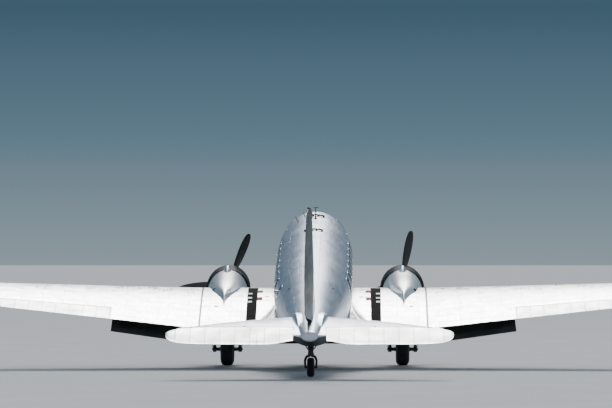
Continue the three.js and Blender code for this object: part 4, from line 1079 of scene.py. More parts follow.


# A split flap's plate, hung down: outer skin, inner side with ribs in near black, dark primer darkened
# further as painted shade, and a stiff front edge.
def build_flap(name, side, ends, point_at, places, ribs):
    a, b = ends
    along = (b - a).normalized()
    turn = Matrix.Translation(a) @ Matrix.Rotation(FLAP_DOWN, 4, along) @ Matrix.Translation(-a)

    def corners(x):
        point_of = point_at(x)
        front = straight(a, b, (x - places[0]) / (places[-1] - places[0]))
        lower = [front, *(point_of(t, -1) for t in spread(FLAP_START + 0.02, 1, 6))]
        edge = (point_of(1, 1) + point_of(1, -1)) / 2
        return lower, front + at(0, 0, FLAP_THICK), edge + at(0, 0, FLAP_EDGE - EDGE)

    bm = bmesh.new()
    rings = []
    for x in places:
        lower, top, last = corners(x)
        rings.append([*lower, last, straight(last, top, 0.5) - at(0, 0, 5), top - at(0, 60, 8), top])
    skin(bm, [mirror([turn @ p for p in ring], side) for ring in rings])
    frames = bmesh.new()
    for x in spread(places[0] + 60, places[-1] - 60, ribs):
        _, top, last = corners(x)
        line = [turn @ straight(top - at(0, 70, 10), last, share) for share in (0, 0.5, 0.86)]
        tube(frames, mirror(line, side), [9, 8, 3], 6)
    for share in (0.28, 0.6):
        edges = [corners(x)[1:] for x in places]
        line = [turn @ (straight(top, last, share) - at(0, 0, 2)) for top, last in edges]
        tube(frames, mirror(line, side), 6, 6)
    inward = mirror([turn.to_3x3() @ UP], side)[0]
    bmesh.ops.recalc_face_normals(bm, faces=bm.faces)
    for face in bm.faces:
        if face.normal.dot(inward) > 0.3:
            face.material_index = 1
    piece(f"{name}_skin", bm, [WING_SKIN, FLAP_PRIMER_AND_SHADE], name, name, uv=span_uv)
    piece(f"{name}_ribs", frames, FLAP_PRIMER_AND_SHADE, name)


def build_centre_wing():
    bm = bmesh.new()

    def at_centre(x):
        return lambda t, level: centre_point(x, t, level)

    reach = FLAP_ENDS["centre"]
    bay = reach + FLAP_END_GAP
    parts = (((-JOINT_X, -bay), plain_section), ((-bay, bay), bay_section), ((bay, JOINT_X), plain_section))
    for ends, form in parts:
        skin(bm, [form(at_centre(x)) for x in ends])
    bmesh.ops.recalc_face_normals(bm, faces=bm.faces)
    # The flap bay's lower faces take the near-black of painted shade.
    for face in bm.faces:
        centre = face.calc_center_median()
        if -centre.y / MM > WING_LE + CHORD * FLAP_START and face.normal.z < -0.5:
            face.material_index = 1
    looks = [WING_SKIN, FLAP_PRIMER_AND_SHADE]
    piece("wing_centre_skin", bm, looks, replaces="wing_centre", uv=span_uv)
    ends = [centre_point(x, FLAP_START, -1) for x in (-reach, reach)]
    build_flap("flap_centre", 1, ends, at_centre, spread(-reach, reach, 9), 15)


# Wing-root fairing: a hollow-cheeked form between cabin side and wing, out past the trailing edge.
FILLET = {"from": 6300, "to": 10900}
FILLET_POWER = 2 / 0.74


def build_fillets():
    for word, side in SIDES:
        bm = bmesh.new()
        rings = []
        for share in spread(0, 1, 40):
            station = FILLET["from"] + (FILLET["to"] - FILLET["from"]) * share
            swell = math.sin(math.pi * share**1.3)
            past = max(0.0, station - WING_LE - CHORD)
            base = wing_point(JOINT_X, min(0.97, (station - WING_LE) / CHORD), 0).z / MM + past * 0.24
            half = row_at(FUSELAGE, station)[1]
            reach, rise = 60 + 560 * swell, 60 + 640 * swell
            # Over the flap the fairing's underside stays up in the wing's fixed skin.
            deep, foot = (-50, -25) if station < WING_LE + CHORD * FLAP_START else (15, 14)
            ring = [at(half * 0.5, station, base + deep), at(half + reach, station, base + foot)]
            for angle in spread(0, math.pi / 2, 15):
                out, up = math.cos(angle) ** FILLET_POWER, math.sin(angle) ** FILLET_POWER
                place = half * 0.97 + (reach + half * 0.03) * out
                ring.append(at(place, station, base + 20 + (rise - 20) * up))
            ring.append(at(half * 0.5, station, base + rise))
            rings.append(mirror(ring, side))
        skin(bm, rings)
        piece(f"wing_fillet_{word}", bm, POLISHED, sharp=50, uv=span_uv)


# Places on the wing: distances out, and shares of the chord.
FILLER_CAPS = ((1480, 0.42), (3050, 0.62), (5200, 0.2), (8700, 0.3), (11200, 0.3))
WALKWAY = {"from": 1780, "to": 2100}
WHITE_MARKS = {"from": 1950, "to": 2090, "long": 0.03, "starts": (0.336, 0.4375, 0.52)}
RED_MARKS = {"from": 1620, "to": 1790, "long": 0.07, "starts": (0.26, 0.436)}
JOINT_STRAP = {"from": 3500, "to": 3560, "tall": 12}
LANDING_LAMP = {"from": 7050, "middle": 7190, "to": 7330}
AILERON_TAB = {"from": 10150, "to": 11480, "hinge": (0.925, 0.931), "ends": (0.93, 0.995)}


# A thin sheet laid on the wing's upper or lower skin, between two places out and two along the chord.
def wing_sheet(bm, x_ends, t_ends, level=1, offset=2.5, side=1, counts=(8, 20)):
    across, along = spread(*x_ends, counts[0]), spread(*t_ends, counts[1])
    sheet(bm, [[wing_point(x, t, level, side, offset) for t in along] for x in across])


def build_wing_details():
    walk, white, red, joint = (bmesh.new() for _ in range(4))
    for _, side in SIDES:
        wing_sheet(walk, (WALKWAY["from"], WALKWAY["to"]), (0.16, 0.985), side=side, counts=(4, 40))
        for bm, marks, offset, counts in ((white, WHITE_MARKS, 4, (3, 3)), (red, RED_MARKS, 3, (4, 5))):
            for t in marks["starts"]:
                ends = (marks["from"], marks["to"])
                wing_sheet(bm, ends, (t, t + marks["long"]), side=side, offset=offset, counts=counts)
        # The joint's raised angle strip, standing up round the wing, near black as painted shade along the
        # joint.
        edges, tall = (JOINT_STRAP["from"], JOINT_STRAP["to"]), JOINT_STRAP["tall"]
        for level in (1, -1):
            wing_sheet(joint, edges, (0.0, 0.99), level, tall, side, counts=(2, 40))
            for x in edges:
                along = spread(0, 0.99, 40)
                sheet(joint, [[wing_point(x, t, level, side, off) for t in along] for off in (0, tall)])
    piece("walkways", walk, GRIT)
    piece("walkway_marks", white, MARK_WHITE)
    piece("step_marks", red, MARK_RED)
    piece("wing_joint_straps", joint, GEAR_PAINT_AND_JOINT_SHADE)

    # Landing lamps behind clear covers in the leading edge, and a lamp at each tip.
    cover, bowls = bmesh.new(), bmesh.new()
    for _, side in SIDES:
        rows = []
        for x in spread(LANDING_LAMP["from"], LANDING_LAMP["to"], 8):
            lower = [wing_point(x, t, -1, side, 1.5) for t in chord_places(0.035, 0, 7)]
            upper = [wing_point(x, t, 1, side, 1.5) for t in chord_places(0, 0.03, 7)[1:]]
            rows.append([*lower, *upper])
        sheet(cover, rows)
        bowl = [(2, 96), (2, 100), (-4, 100), (-4, 90), (-30, 60), (-40, 5)]
        turned(bowls, bowl, wing_point(LANDING_LAMP["middle"], 0.004, 0, side) + at(0, 8, 0), FORWARD, 32)
    piece("landing_lamp_covers", cover, GLASS)
    piece("landing_lamps", bowls, CHROME)
    for (word, side), look in zip(SIDES, (LAMP_GREEN, LAMP_RED)):
        bm = bmesh.new()
        rows = [(-80, 0), (-74, 12), (-50, 22), (-10, 26), (40, 22), (90, 8), (100, 0)]
        turned(bm, rows, wing_point(14250, 0.3, 1, side, 2), FORWARD, 20)
        piece(f"tip_lamp_{word}", bm, look)

    # Fuel caps and inspection plates.
    caps = bmesh.new()
    for _, side in SIDES:
        for x, t in FILLER_CAPS:
            centre = wing_point(x, t, 1, side, 3)
            up = (wing_point(x, t, 1, side, 5) - centre).normalized()
            turned(caps, [(-3, 62), (1, 62), (2.5, 58), (2.5, 20), (6, 18), (6, 0)], centre, up, 28)
    piece("filler_caps", caps, TRIM)

    # The outline of the right aileron's trim tab.
    gaps = bmesh.new()
    ends = (AILERON_TAB["from"], AILERON_TAB["to"])
    for x in ends:
        for level in (1, -1):
            wing_sheet(gaps, (x, x + 9), AILERON_TAB["ends"], level, 1.5, counts=(2, 6))
    for level in (1, -1):
        wing_sheet(gaps, ends, AILERON_TAB["hinge"], level, 1.5, counts=(12, 2))
    piece("aileron_tab_gap", gaps, BLACK_SEAL_AND_SHADE, "aileron_right")


for side_word, side_sign in SIDES:
    build_wing(side_word, side_sign)
build_centre_wing()
build_fillets()
build_wing_details()


# Nacelles. Columns: station, half width, height over the thrust line.
NACELLE_TOP = fine([
    (3650, 640, 725),
    (4300, 655, 755),
    (5000, 655, 775),
    (5600, 645, 768),
    (6000, 590, 738),
    (6300, 470, 704),
    (6640, 280, 654),
    (7000, 95, 590),
    (7350, 20, 535),
])
NACELLE_BELLY = fine([
    (3650, 640, -620),
    (4300, 650, -650),
    (5200, 615, -680),
    (6000, 520, -645),
    (6800, 390, -520),
    (7600, 230, -340),
    (8300, 60, -120),
])
WELL = {"half": 490, "from": 3930, "to": 5330, "roof": -1330}
COWL_FLAPS = {"count": 10, "from": 3330, "to": 3605}
OUTLET = (0.86, 6120)  # angle up from the outboard side, station
# Rows of (station, half width, height), height of the base over the thrust line, and the way each stands.
SCOOPS = (
    ([(3645, 72, 120), (3690, 98, 178), (3760, 112, 214), (3900, 106, 205), (4050, 80, 160), (4190, 44, 96)],
     680, 1),
    ([(3660, 100, 165), (3900, 150, 210), (4540, 130, 200), (4860, 55, 140)], -600, -1),
)


def nacelle_uv(point, centre):
    x = abs(point.x) / MM - ENGINE_X
    turn = math.atan2(x, point.z / MM - THRUST_Z)
    middle = math.atan2(abs(centre.x) / MM - ENGINE_X, centre.z / MM - THRUST_Z)
    turn += 2 * math.pi * round((middle - turn) / (2 * math.pi))
    return (-point.y, turn * 0.7)


def engine_place(x, station, z):
    return at(ENGINE_X + x, station, THRUST_Z + z)


# A point on a ring round the thrust line, by its radius and its angle from the top.
def on_ring(radius, turn, station):
    return engine_place(radius * math.sin(turn), station, radius * math.cos(turn))


def nacelle_half(bm, rows):
    skin(bm, [
        [engine_place(wide * math.cos(a), s, tall * math.sin(a)) for a in spread(-0.12, math.pi + 0.12, 40)]
        for s, wide, tall in rows
    ])


def build_nacelle(word, side):
    bm = bmesh.new()
    nacelle_half(bm, NACELLE_TOP)
    nacelle_half(bm, NACELLE_BELLY)
    half, front, back, roof = WELL["half"], WELL["from"], WELL["to"], WELL["roof"]
    carve(bm, [
        (at(ENGINE_X - half, 0, 0), STARBOARD),
        (at(ENGINE_X + half, 0, 0), -STARBOARD),
        (at(0, front, 0), AFT),
        (at(0, back, 0), FORWARD),
        (at(0, 0, roof), DOWN),
    ])
    nacelle = f"nacelle_{word}"
    piece(f"nacelle_skin_{word}", bm, DOME_SKIN, replaces=nacelle, uv=nacelle_uv, side=side)

    # The well's walls follow the belly's edge, with frames across them.
    bm = bmesh.new()

    def belly(x, station):
        _, wide, tall = row_at(NACELLE_BELLY, station)
        return THRUST_Z + tall * math.sqrt(max(0.0, 1 - (x / wide) ** 2)) + 4

    for x in (-half, half):
        places = spread(front, back, 20)
        sheet(bm, [[at(ENGINE_X + x, s, roof) for s in places],
                   [at(ENGINE_X + x, s, min(roof - 10, belly(x, s))) for s in places]])
    for s in (front, back):
        places = spread(-half, half, 20)
        sheet(bm, [[at(ENGINE_X + x, s, z) for x, z in zip(places, heights)]
                   for heights in ([roof] * 20, [belly(x, s) for x in places])])
    corners = ((-half, front), (half, front), (half, back), (-half, back))
    plate(bm, [at(ENGINE_X + x, s, roof) for x, s in corners])
    for s in spread(front + 120, back - 120, 6):
        slab(bm, (ENGINE_X - half + 4, s - 12, roof - 36), (ENGINE_X + half - 4, s + 12, roof - 2), 3)
    for x in (-300, -120, 120, 300):
        tube(bm, [at(ENGINE_X + x, s, roof - 44) for s in spread(front + 60, back - 60, 5)], 9, 8)
    piece(f"wheel_well_lining_{word}", bm, PRIMER, side=side)

    # Air scoop on top, intake below, each mouth filled by a black plate, painted shade for the dark duct
    # inside.
    bm = bmesh.new()
    mouths = bmesh.new()
    for table, base, way in SCOOPS:
        skin(bm, [
            [engine_place(w * math.cos(a), s, base + way * t * math.sin(a)) for a in spread(0, math.pi, 24)]
            for s, w, t in fine(table, 6)
        ])
        station, w, t = table[0]
        plate(mouths, [
            engine_place(w * 0.86 * math.cos(a), station - 2, base + way * (t * 0.9) * math.sin(a))
            for a in spread(0.3, math.pi - 0.3, 20)
        ])
    mirrored(mouths, side)
    piece(f"nacelle_scoops_{word}", bm, DOME_SKIN, uv=nacelle_uv, side=side)

    # The outlet on the nacelle's outboard shoulder: a rim on each side, and the right one's black disc,
    # painted shade for the outlet's dark inside.
    rim = bmesh.new()
    angle, station = OUTLET
    _, wide, tall = row_at(NACELLE_TOP, station)
    centre = engine_place(wide * math.cos(angle), station, tall * math.sin(angle))
    out = Vector((math.cos(angle), -0.42, math.sin(angle))).normalized()
    turned(mouths, [(-10, 66), (6, 66), (7, 0)], centre, out, 24)
    turned(rim, [(-10, 66), (10, 66), (11, 72), (-8, 78)], centre, out, 28, hollow=True)
    piece(f"nacelle_outlet_rim_{word}", rim, BLACK_SEAL_AND_SHADE, side=side)
    piece(f"nacelle_mouths_{word}", mouths, BLACK_SEAL_AND_SHADE)


COWL_PROFILE = [
    (2600, 632), (2520, 588), (2478, 562), (2440, 556), (2412, 570), (2402, 590), (2408, 614), (2428, 636),
    (2470, 654), (2540, 672), (2650, 690), (2850, 710), (3100, 720), (3300, 722), (3322, 721),
    (3322, 711), (3000, 697), (2760, 682),
]
FIREWALL_PROFILE = [(3400, 712), (3600, 700), (3640, 645), (3655, 600), (3660, 300), (3400, 300)]


def build_cowl(word, side):
    base = engine_place(0, 0, 0)
    bm = bmesh.new()
    turned(bm, COWL_PROFILE, base, AFT, 96, hollow=True)
    cowl = f"cowl_{word}"
    piece(f"cowl_ring_{word}", bm, COWL_NEAR_BLACK, replaces=cowl, uv=nacelle_uv, side=side)

    # Cooling flaps round the cowl's rear edge, ajar; their inner faces are black, painted shade for the dark
    # gap to the nacelle.
    bm = bmesh.new()
    count = COWL_FLAPS["count"]
    for start, end in zip(turns(count, 0.04), turns(count, 0.96)):
        outer, inner = spread(start, end, 10), spread(end, start, 10)
        skin(bm, [
            [*(on_ring(r, a, s) for a in outer), *(on_ring(r - thick, a, s) for a in inner)]
            for s, r, thick in ((COWL_FLAPS["from"], 722, 9), (3450, 724, 8), (COWL_FLAPS["to"], 730, 5))
        ])
    bmesh.ops.recalc_face_normals(bm, faces=bm.faces)
    for face in bm.faces:
        centre = face.calc_center_median() - base
        centre.y = 0
        if face.normal.dot(centre) < 0:
            face.material_index = 1
    piece(f"cowl_flaps_{word}", bm, [COWL_NEAR_BLACK, BLACK_SEAL_AND_SHADE], uv=nacelle_uv, side=side)

    # The firewall behind the engine, with ribs round it.
    bm = bmesh.new()
    turned(bm, FIREWALL_PROFILE, base, AFT, 72, hollow=True)
    for angle in turns(36):
        turn = Matrix.Rotation(-angle, 4, "Y")
        rib = Matrix.Diagonal((0.008, 0.03, 0.05, 1))
        bmesh.ops.create_cube(bm, size=1, matrix=Matrix.Translation(on_ring(675, angle, 3600)) @ turn @ rib)
    piece(f"firewall_ring_{word}", bm, BLACK_SEAL_AND_SHADE, side=side)


CYLINDERS = {"count": 7, "front": 2790, "rear": 3060}
# Columns: station, radius.
CRANKCASE_PROFILE = [
    (2191, 0), (2191, 66), (2290, 70), (2296, 96), (2330, 104), (2420, 118), (2470, 150), (2530, 196),
    (2600, 226), (2640, 240), (2648, 254), (2668, 254), (2672, 238), (2920, 244), (2924, 262), (2944, 262),
    (2950, 244), (3180, 244), (3200, 330), (3260, 340), (3300, 420), (3340, 430), (3420, 400), (3560, 330),
    (3649, 320), (3649, 0),
]
EXHAUST_LINE = ((470, 3560, 360), (520, 3668, 395), (585, 4180, 480), (600, 4420, 520))  # out, station, down
# Height from the crank line of the cylinder's barrel, its head and its cap, and the fins' pitches.
BARREL = {"from": 256, "to": 470, "pitch": 9}
CYLINDER_HEAD = {"from": 470, "to": 590, "pitch": 11}


def cylinder_mesh():
    """One air-cooled cylinder, standing along +Z from its flange, in millimetres from the crank line."""
    bm = bmesh.new()
    rows = [(230, 92), (245, 92), (246, 78), (252, 78)]
    place = BARREL["from"]
    while place < BARREL["to"]:
        radius = 104 + 10 * (place - BARREL["from"]) / 214
        rows += [(place, 76), (place + 0.5, radius), (place + 3.5, radius), (place + 4, 76)]
        place += BARREL["pitch"]
    while place < CYLINDER_HEAD["to"]:
        radius = 124 - 26 * ((place - CYLINDER_HEAD["from"]) / 120) ** 2
        rows += [(place, 84), (place + 0.5, radius), (place + 4, radius), (place + 4.5, 84)]
        place += CYLINDER_HEAD["pitch"]
    rows += [(596, 70), (604, 52), (606, 0)]
    turned(bm, rows, Vector(), UP, 28)
    for x in (-58, 58):
        slab_at(bm, (x, 0, 575), (46, 92, 60), 10)
        slab_at(bm, (x, 34, 560), (36, 30, 44), 8)
        rod = ((x * 0.6, -70, 240), (x * 0.95, -84, 400), (x, -78, 552))
        tube(bm, [Vector(p) * MM for p in rod], 9, 8)
    port = ((0, 60, 600), (14, 100, 560), (24, 128, 420), (24, 120, 300))
    tube(bm, [Vector(p) * MM for p in port], [17, 20, 22, 22], 10)
    return bm


def slab_at(bm, centre, size, rounding):
    x, y, z = centre
    a, b, c = (value / 2 for value in size)
    slab(bm, (x - a, -y - b, z - c), (x + a, -y + b, z + c), rounding)


def build_engine(word, side):
    count = CYLINDERS["count"]
    base = engine_place(0, 0, 0)

    # The front row stands between the rear row's cylinders.
    bm = bmesh.new()
    single = cylinder_mesh()
    mesh = bpy.data.meshes.new("cylinder")
    single.to_mesh(mesh)
    single.free()
    for station, start in ((CYLINDERS["front"], 0.0), (CYLINDERS["rear"], 0.5)):
        for angle in turns(count, start):
            before = len(bm.verts)
            bm.from_mesh(mesh)
            matrix = Matrix.Translation(engine_place(0, station, 0)) @ Matrix.Rotation(angle, 4, "Y")
            bm.verts.ensure_lookup_table()
            bmesh.ops.transform(bm, matrix=matrix, verts=bm.verts[before:])
    bpy.data.meshes.remove(mesh)
    piece(f"cylinders_{word}", bm, FIN_BLACK, replaces=f"engine_{word}", sharp=30, side=side)

    # The crankcase with its bolts, three magnetos and the cylinders' push rods.
    bm = bmesh.new()
    turned(bm, CRANKCASE_PROFILE, base, AFT, 48)
    for angle in turns(20):
        for station, r in ((2658, 246), (2934, 254)):
            turned(bm, [(0, 0), (0, 8), (8, 8), (9, 0)], on_ring(r, angle, station - 12), AFT * -1, 6)
    for angle in (-0.5, 0.0, 0.5):
        rows = [(-60, 0), (-60, 34), (10, 36), (20, 44), (60, 46), (60, 0)]
        turned(bm, rows, on_ring(150, angle, 2440), AFT, 18)
    for angle in turns(count):
        for shift in (-0.1, 0.1):
            bent = angle + shift * 0.9
            rod = [on_ring(190, angle + shift, 2640), on_ring(420, bent, 2706), on_ring(560, bent, 2716)]
            tube(bm, rod, 8, 8)
    piece(f"crankcase_{word}", bm, ENGINE_GREY, sharp=30, side=side)

    # Ignition harness ring and the stays that carry the cowl.
    bm = bmesh.new()
    tube(bm, [on_ring(285, a, 2625) for a in spread(0, 2 * math.pi, 49)], 15, 10, caps=False)
    for i in range(count):
        for offset in (0, 0.5):
            angle = 2 * math.pi * (i + offset) / count + 0.12
            lead = ((285, 2625), (400, 2650 + 130 * offset), (520, 2700 + 270 * offset))
            tube(bm, bend([on_ring(r, angle, s) for r, s in lead], 4), 6, 6)
    for i in range(5):
        angle = 2 * math.pi * (i * 6 + 0.5) / 30
        tube(bm, [on_ring(r, angle, 3300) for r in (300, 500, 708)], [20, 15, 15], 10)
    piece(f"engine_harness_{word}", bm, STEEL, side=side)

    # The exhaust, open behind, with a lip and two clamps.
    bm = bmesh.new()
    path = bend([engine_place(out, station, -down) for out, station, down in EXHAUST_LINE], 8)
    tube(bm, path, 74, 28, caps=False)
    tube(bm, path[2:], 68, 28, caps=False)
    lip = [(-14, 74), (-14, 79), (2, 79), (4, 74), (4, 68), (-10, 68)]
    turned(bm, lip, path[-1], path[-1] - path[-2], 28, hollow=True)
    for k in (8, 16):
        clamp = [(-16, 75), (-14, 81), (14, 81), (16, 75)]
        turned(bm, clamp, path[k], path[k + 1] - path[k - 1], 28, hollow=True)
    piece(f"exhaust_pipe_{word}", bm, BURNT, replaces=f"exhaust_{word}", side=side)


# Airscrew. Columns: radius, chord, thickness, blade angle.
BLADE = fine([
    (90, 150, 150, 60),
    (240, 145, 145, 60),
    (430, 235, 76, 54),
    (750, 300, 44, 42),
    (1100, 312, 30, 33),
    (1450, 272, 20, 27),
    (1650, 190, 13, 25),
    (1720, 120, 10, 24),
    (1746, 60, 8, 24),
], 5)
# Columns: station, radius.
HUB_PROFILE = [
    (1698, 0), (1699, 20), (1704, 44), (1716, 64), (1736, 80), (1760, 90), (1900, 98), (1904, 106),
    (1930, 106), (1936, 92), (1948, 92), (1960, 132), (1975, 140), (2180, 140), (2188, 128), (2188, 0),
]
SOCKET_PROFILE = [(60, 88), (150, 88), (154, 96), (176, 96), (180, 86), (232, 84), (236, 76), (262, 74)]
BLADE_TURN = {"right": 10, "left": 22}


def build_airscrew(word, side, turn_degrees):
    centre = at(side * ENGINE_X, DISC, THRUST_Z)
    blade_turns = [math.radians(turn_degrees + 120 * i) for i in range(3)]
    bm = bmesh.new()
    for turn in blade_turns:
        out = Vector((math.sin(turn), 0, math.cos(turn)))
        sideways = Vector((math.cos(turn), 0, -math.sin(turn)))
        rings = []
        for r, chord, thick, pitch in BLADE:
            wide = sideways * math.cos(math.radians(pitch)) + Vector((0, math.sin(math.radians(pitch)), 0))
            deep = wide.cross(out)
            flat = max(0.0, min(1.0, (r - 240) / 300))
            ring = []
            for a in turns(28):
                across = math.cos(a)
                tall = math.sin(a) * (1 - 0.35 * flat * across) * (1 if math.sin(a) > 0 else 1 - 0.55 * flat)
                ring.append(centre + (out * r + wide * (chord / 2 * across) + deep * (thick / 2 * tall)) * MM)
            rings.append(ring)
        skin(bm, rings)
    body = f"airscrew_{word}"
    piece(f"blades_{word}", bm, BLACK_PAINT, body, body, sharp=60)

    # The hub, with a bolted socket for each blade.
    bm = bmesh.new()
    turned(bm, HUB_PROFILE, centre - at(0, DISC, 0), AFT, 40)
    for turn in blade_turns:
        out = Vector((math.sin(turn), 0, math.cos(turn)))
        turned(bm, SOCKET_PROFILE, centre, out, 28, hollow=True)
        for angle in turns(10):
            u = FORWARD * math.cos(angle) + out.cross(FORWARD) * math.sin(angle)
            turned(bm, [(150, 0), (150, 8), (184, 8), (185, 0)], centre + u * 0.098, out, 6)
    piece(f"hub_{word}", bm, STEEL, body, sharp=30)


for side_word, side_sign in SIDES:
    build_nacelle(side_word, side_sign)
    build_cowl(side_word, side_sign)
    build_engine(side_word, side_sign)
    build_airscrew(side_word, side_sign, BLADE_TURN[side_word])


# Landing gear.
MAIN_AXLE = {"station": 4450, "z": -2850, "radius": 520}
TAIL_RADIUS = 280
LEG_X = 410
# Where struts end in the nacelle and the hull: station, height.
DRAG_STRUT_END = (6350, -1655)
BRACE_END = (5480, -1675)
TAIL_BRACE_END = (15050, -250)
TAIL_STAY_END = (15560, -330)
GROUND_AXLE = STARBOARD
TAIL_AXLE_PLACE = LEVEL.inverted() @ Vector(joints["tail_wheel_spin"]["pos_m"])
SWIVEL = Vector((0, math.sin(PARKED_PITCH), math.cos(PARKED_PITCH)))
AHEAD = Vector((0, math.cos(PARKED_PITCH), -math.sin(PARKED_PITCH)))
# Profiles of turned parts. Columns: place along the axis, radius.
MAIN_HUB = [
    (-118, 236), (-128, 240), (-134, 232), (-126, 214), (-96, 206), (-70, 196), (-64, 170), (-88, 120),
    (-120, 96), (-144, 90), (-146, 60), (-146, 42), (-130, 40),
]
TAIL_HUB = [
    (-62, 116), (-70, 120), (-74, 112), (-60, 100), (-36, 92), (-34, 74), (-60, 56), (-76, 50), (-76, 26),
    (-70, 24),
]
BRAKE_DRUM = [(-2, 42), (0, 120), (10, 128), (40, 128), (46, 116), (52, 80), (110, 60), (196, 58), (196, 42)]
TAIL_LEG = [
    (0.6, 30), (0.6, 88), (8, 92), (34, 92), (38, 80), (96, 78), (100, 90), (132, 90), (140, 72), (400, 80),
]
FORK_FOOT = [(-20, 0), (-20, 36), (-14, 40), (16, 40), (22, 30), (28, 30), (30, 0)]
BOLT = [(-8, 0), (-8, 9), (9, 9), (10, 0)]


# The same rows again the other way round, for a form alike on both sides.
def other_way(rows):
    return [(-place, radius) for place, radius in rows[::-1]]


# A tyre turned about its axle, with rings of tread grooves and a bulging side wall.
def tyre(bm, centre, radius, half, bead, grooves, flat):
    wall = [(-half * 0.54, bead), (-half * 0.62, bead + 8), (-half * 0.66, bead + 22)]
    for angle in spread(-0.9, 1.02, 12):
        place = -half * (0.66 + 0.34 * math.cos(angle))
        wall.append((place, bead + (radius - bead) * (0.42 + 0.44 * math.sin(angle))))
    wall.append((-half * 0.74, radius * 0.968))
    crown = []
    edge = half * 0.62
    for k in range(grooves):
        left = -edge + 2 * edge * (k + 0.12) / grooves
        right = -edge + 2 * edge * (k + 0.88) / grooves
        for place, drop in ((left - 3, 9), (left, 0), (right, 0), (right + 3, 9)):
            crown.append((place, radius - drop - 12 * (place / edge) ** 4))
    turned(bm, [*wall, *crown, *other_way(wall)], centre, GROUND_AXLE, flat, hollow=True)


# A ring of small turned parts on one face of a wheel.
def studs(bm, rows, centre, way, count, radius, out, sides, start=0.0):
    for a in turns(count, start):
        place = centre + Vector((0, math.cos(a), math.sin(a))) * radius + GROUND_AXLE * out * way
        turned(bm, rows, place, GROUND_AXLE * way, sides)


def build_main_wheel(word, side):
    centre = at(side * ENGINE_X, MAIN_AXLE["station"], MAIN_AXLE["z"])
    body = f"main_wheel_{word}"
    bm = bmesh.new()
    tyre(bm, centre, MAIN_AXLE["radius"], 218, 236, 7, 112)
    piece(f"main_tread_{word}", bm, RUBBER, body, f"main_tyre_{word}", sharp=28)
    bm = bmesh.new()
    turned(bm, [*MAIN_HUB, *other_way(MAIN_HUB)], centre, GROUND_AXLE, 64, hollow=True)
    for way in (-1, 1):
        studs(bm, [(-20, 0), (-20, 22), (6, 22), (8, 16), (8, 0)], centre, way, 8, 0.148, 0.08, 20)
        studs(bm, BOLT, centre, way, 10, 0.218, 0.118, 6, 0.5)
    piece(f"main_hub_{word}", bm, STEEL, body, f"main_rim_{word}", sharp=30)


def collar(bm, a, b, share, radius, length=26):
    half, low, high = length / 2, radius * 0.8, radius + 3
    rows = [(-half, low), (-half, radius), (-half + 3, high), (half - 3, high), (half, radius), (half, low)]
    turned(bm, rows, a.lerp(b, share), b - a, 24, hollow=True)


def build_main_gear(word, side):
    station, z = MAIN_AXLE["station"], MAIN_AXLE["z"]
    frame_bm, slides, lines = bmesh.new(), bmesh.new(), bmesh.new()
    tube(frame_bm, [at(ENGINE_X + x, station, z) for x in (-475, 0, 475)], 38.4, 28)
    for s in (-1, 1):
        x = ENGINE_X + s * LEG_X
        top, foot = at(x, station + 330, WELL["roof"]), at(x, station, z)
        knee = top.lerp(foot, 0.56)
        tube(frame_bm, [top, top.lerp(knee, 0.9), knee], [64, 62, 60], 28)
        for share, radius in ((0.08, 70), (0.5, 66), (0.94, 70)):
            collar(frame_bm, top, knee, share, radius, 40)
        tube(slides, [knee, foot], [42, 42], 28)
        collar(frame_bm, knee, foot, 0.86, 54, 70)
        turned(frame_bm, [(-62, 0), (-61, 80), (-52, 94), (52, 94), (61, 80), (62, 0)], foot, GROUND_AXLE, 32)
        cap = [(-8, 0), (-8, 40), (10, 40), (22, 30), (24, 0)]
        turned(frame_bm, cap, foot + GROUND_AXLE * 0.066 * s, GROUND_AXLE * s, 8)
        # Brake drum and its plate, inboard of the leg.
        turned(frame_bm, BRAKE_DRUM, at(ENGINE_X + s * 150, station, z), GROUND_AXLE * s, 40, hollow=True)
        # Drag struts back to the nacelle, and the folding brace above them.
        low, rear = foot.lerp(top, 0.06), at(x - s * 60, *DRAG_STRUT_END)
        tube(frame_bm, [low, low.lerp(rear, 0.5), rear], [28, 31, 33], 20)
        for share, radius, length in ((0.04, 40, 60), (0.5, 38, 44), (0.93, 40, 50)):
            collar(frame_bm, low, rear, share, radius, length)
        high, end = knee.lerp(top, 0.1), at(x - s * 20, *BRACE_END)
        tube(frame_bm, [high, end], 25, 18)
        collar(frame_bm, high, end, 0.06, 34, 40)
        # Torque links ahead of the leg.
        elbow = knee.lerp(foot, 0.45) + at(0, -150, 0)
        for point in (knee.lerp(foot, 0.02) + at(0, -50, 0), knee.lerp(foot, 0.84) + at(0, -46, 0)):
            for dx in (-26, 26):
                tube(frame_bm, [point + at(dx, 0, 0), elbow + at(dx * 0.4, 0, 0)], [13, 9], 10)
        turned(frame_bm, [(-30, 0), (-30, 15), (30, 15), (30, 0)], elbow, GROUND_AXLE, 16)
        # A brake line down the leg.
        path = [top + at(s * 74, 30, -30), top.lerp(knee, 0.5) + at(s * 72, 24, 0), knee + at(s * 70, 20, 0),
                knee.lerp(foot, 0.4) + at(s * 84, 40, 0), foot + at(s * 70, 40, 90),
                foot + at(-s * 60, 60, 60)]
        tube(lines, bend(path, 6), 8, 10)
    for dz, ds, radius in ((-1950, 190, 32), (-1450, 300, 43)):
        a, b = at(ENGINE_X - LEG_X, station + ds, dz), at(ENGINE_X + LEG_X, station + ds, dz)
        tube(frame_bm, [a, b], radius, 20)
        for share in (0.1, 0.9):
            collar(frame_bm, a, b, share, radius + 7, 40)
    arch = ((-LEG_X, 200, -1930), (0, 250, -1650), (LEG_X, 200, -1930))
    tube(frame_bm, [at(ENGINE_X + x, station + aft, height) for x, aft, height in arch], 17, 14)
    gear = f"gear_{word}"
    piece(f"gear_frame_{word}", frame_bm, GEAR_PAINT_AND_JOINT_SHADE, replaces=gear, sharp=30, side=side)
    piece(f"gear_slides_{word}", slides, CHROME, side=side)
    piece(f"brake_lines_{word}", lines, BLACK_SEAL_AND_SHADE, side=side)


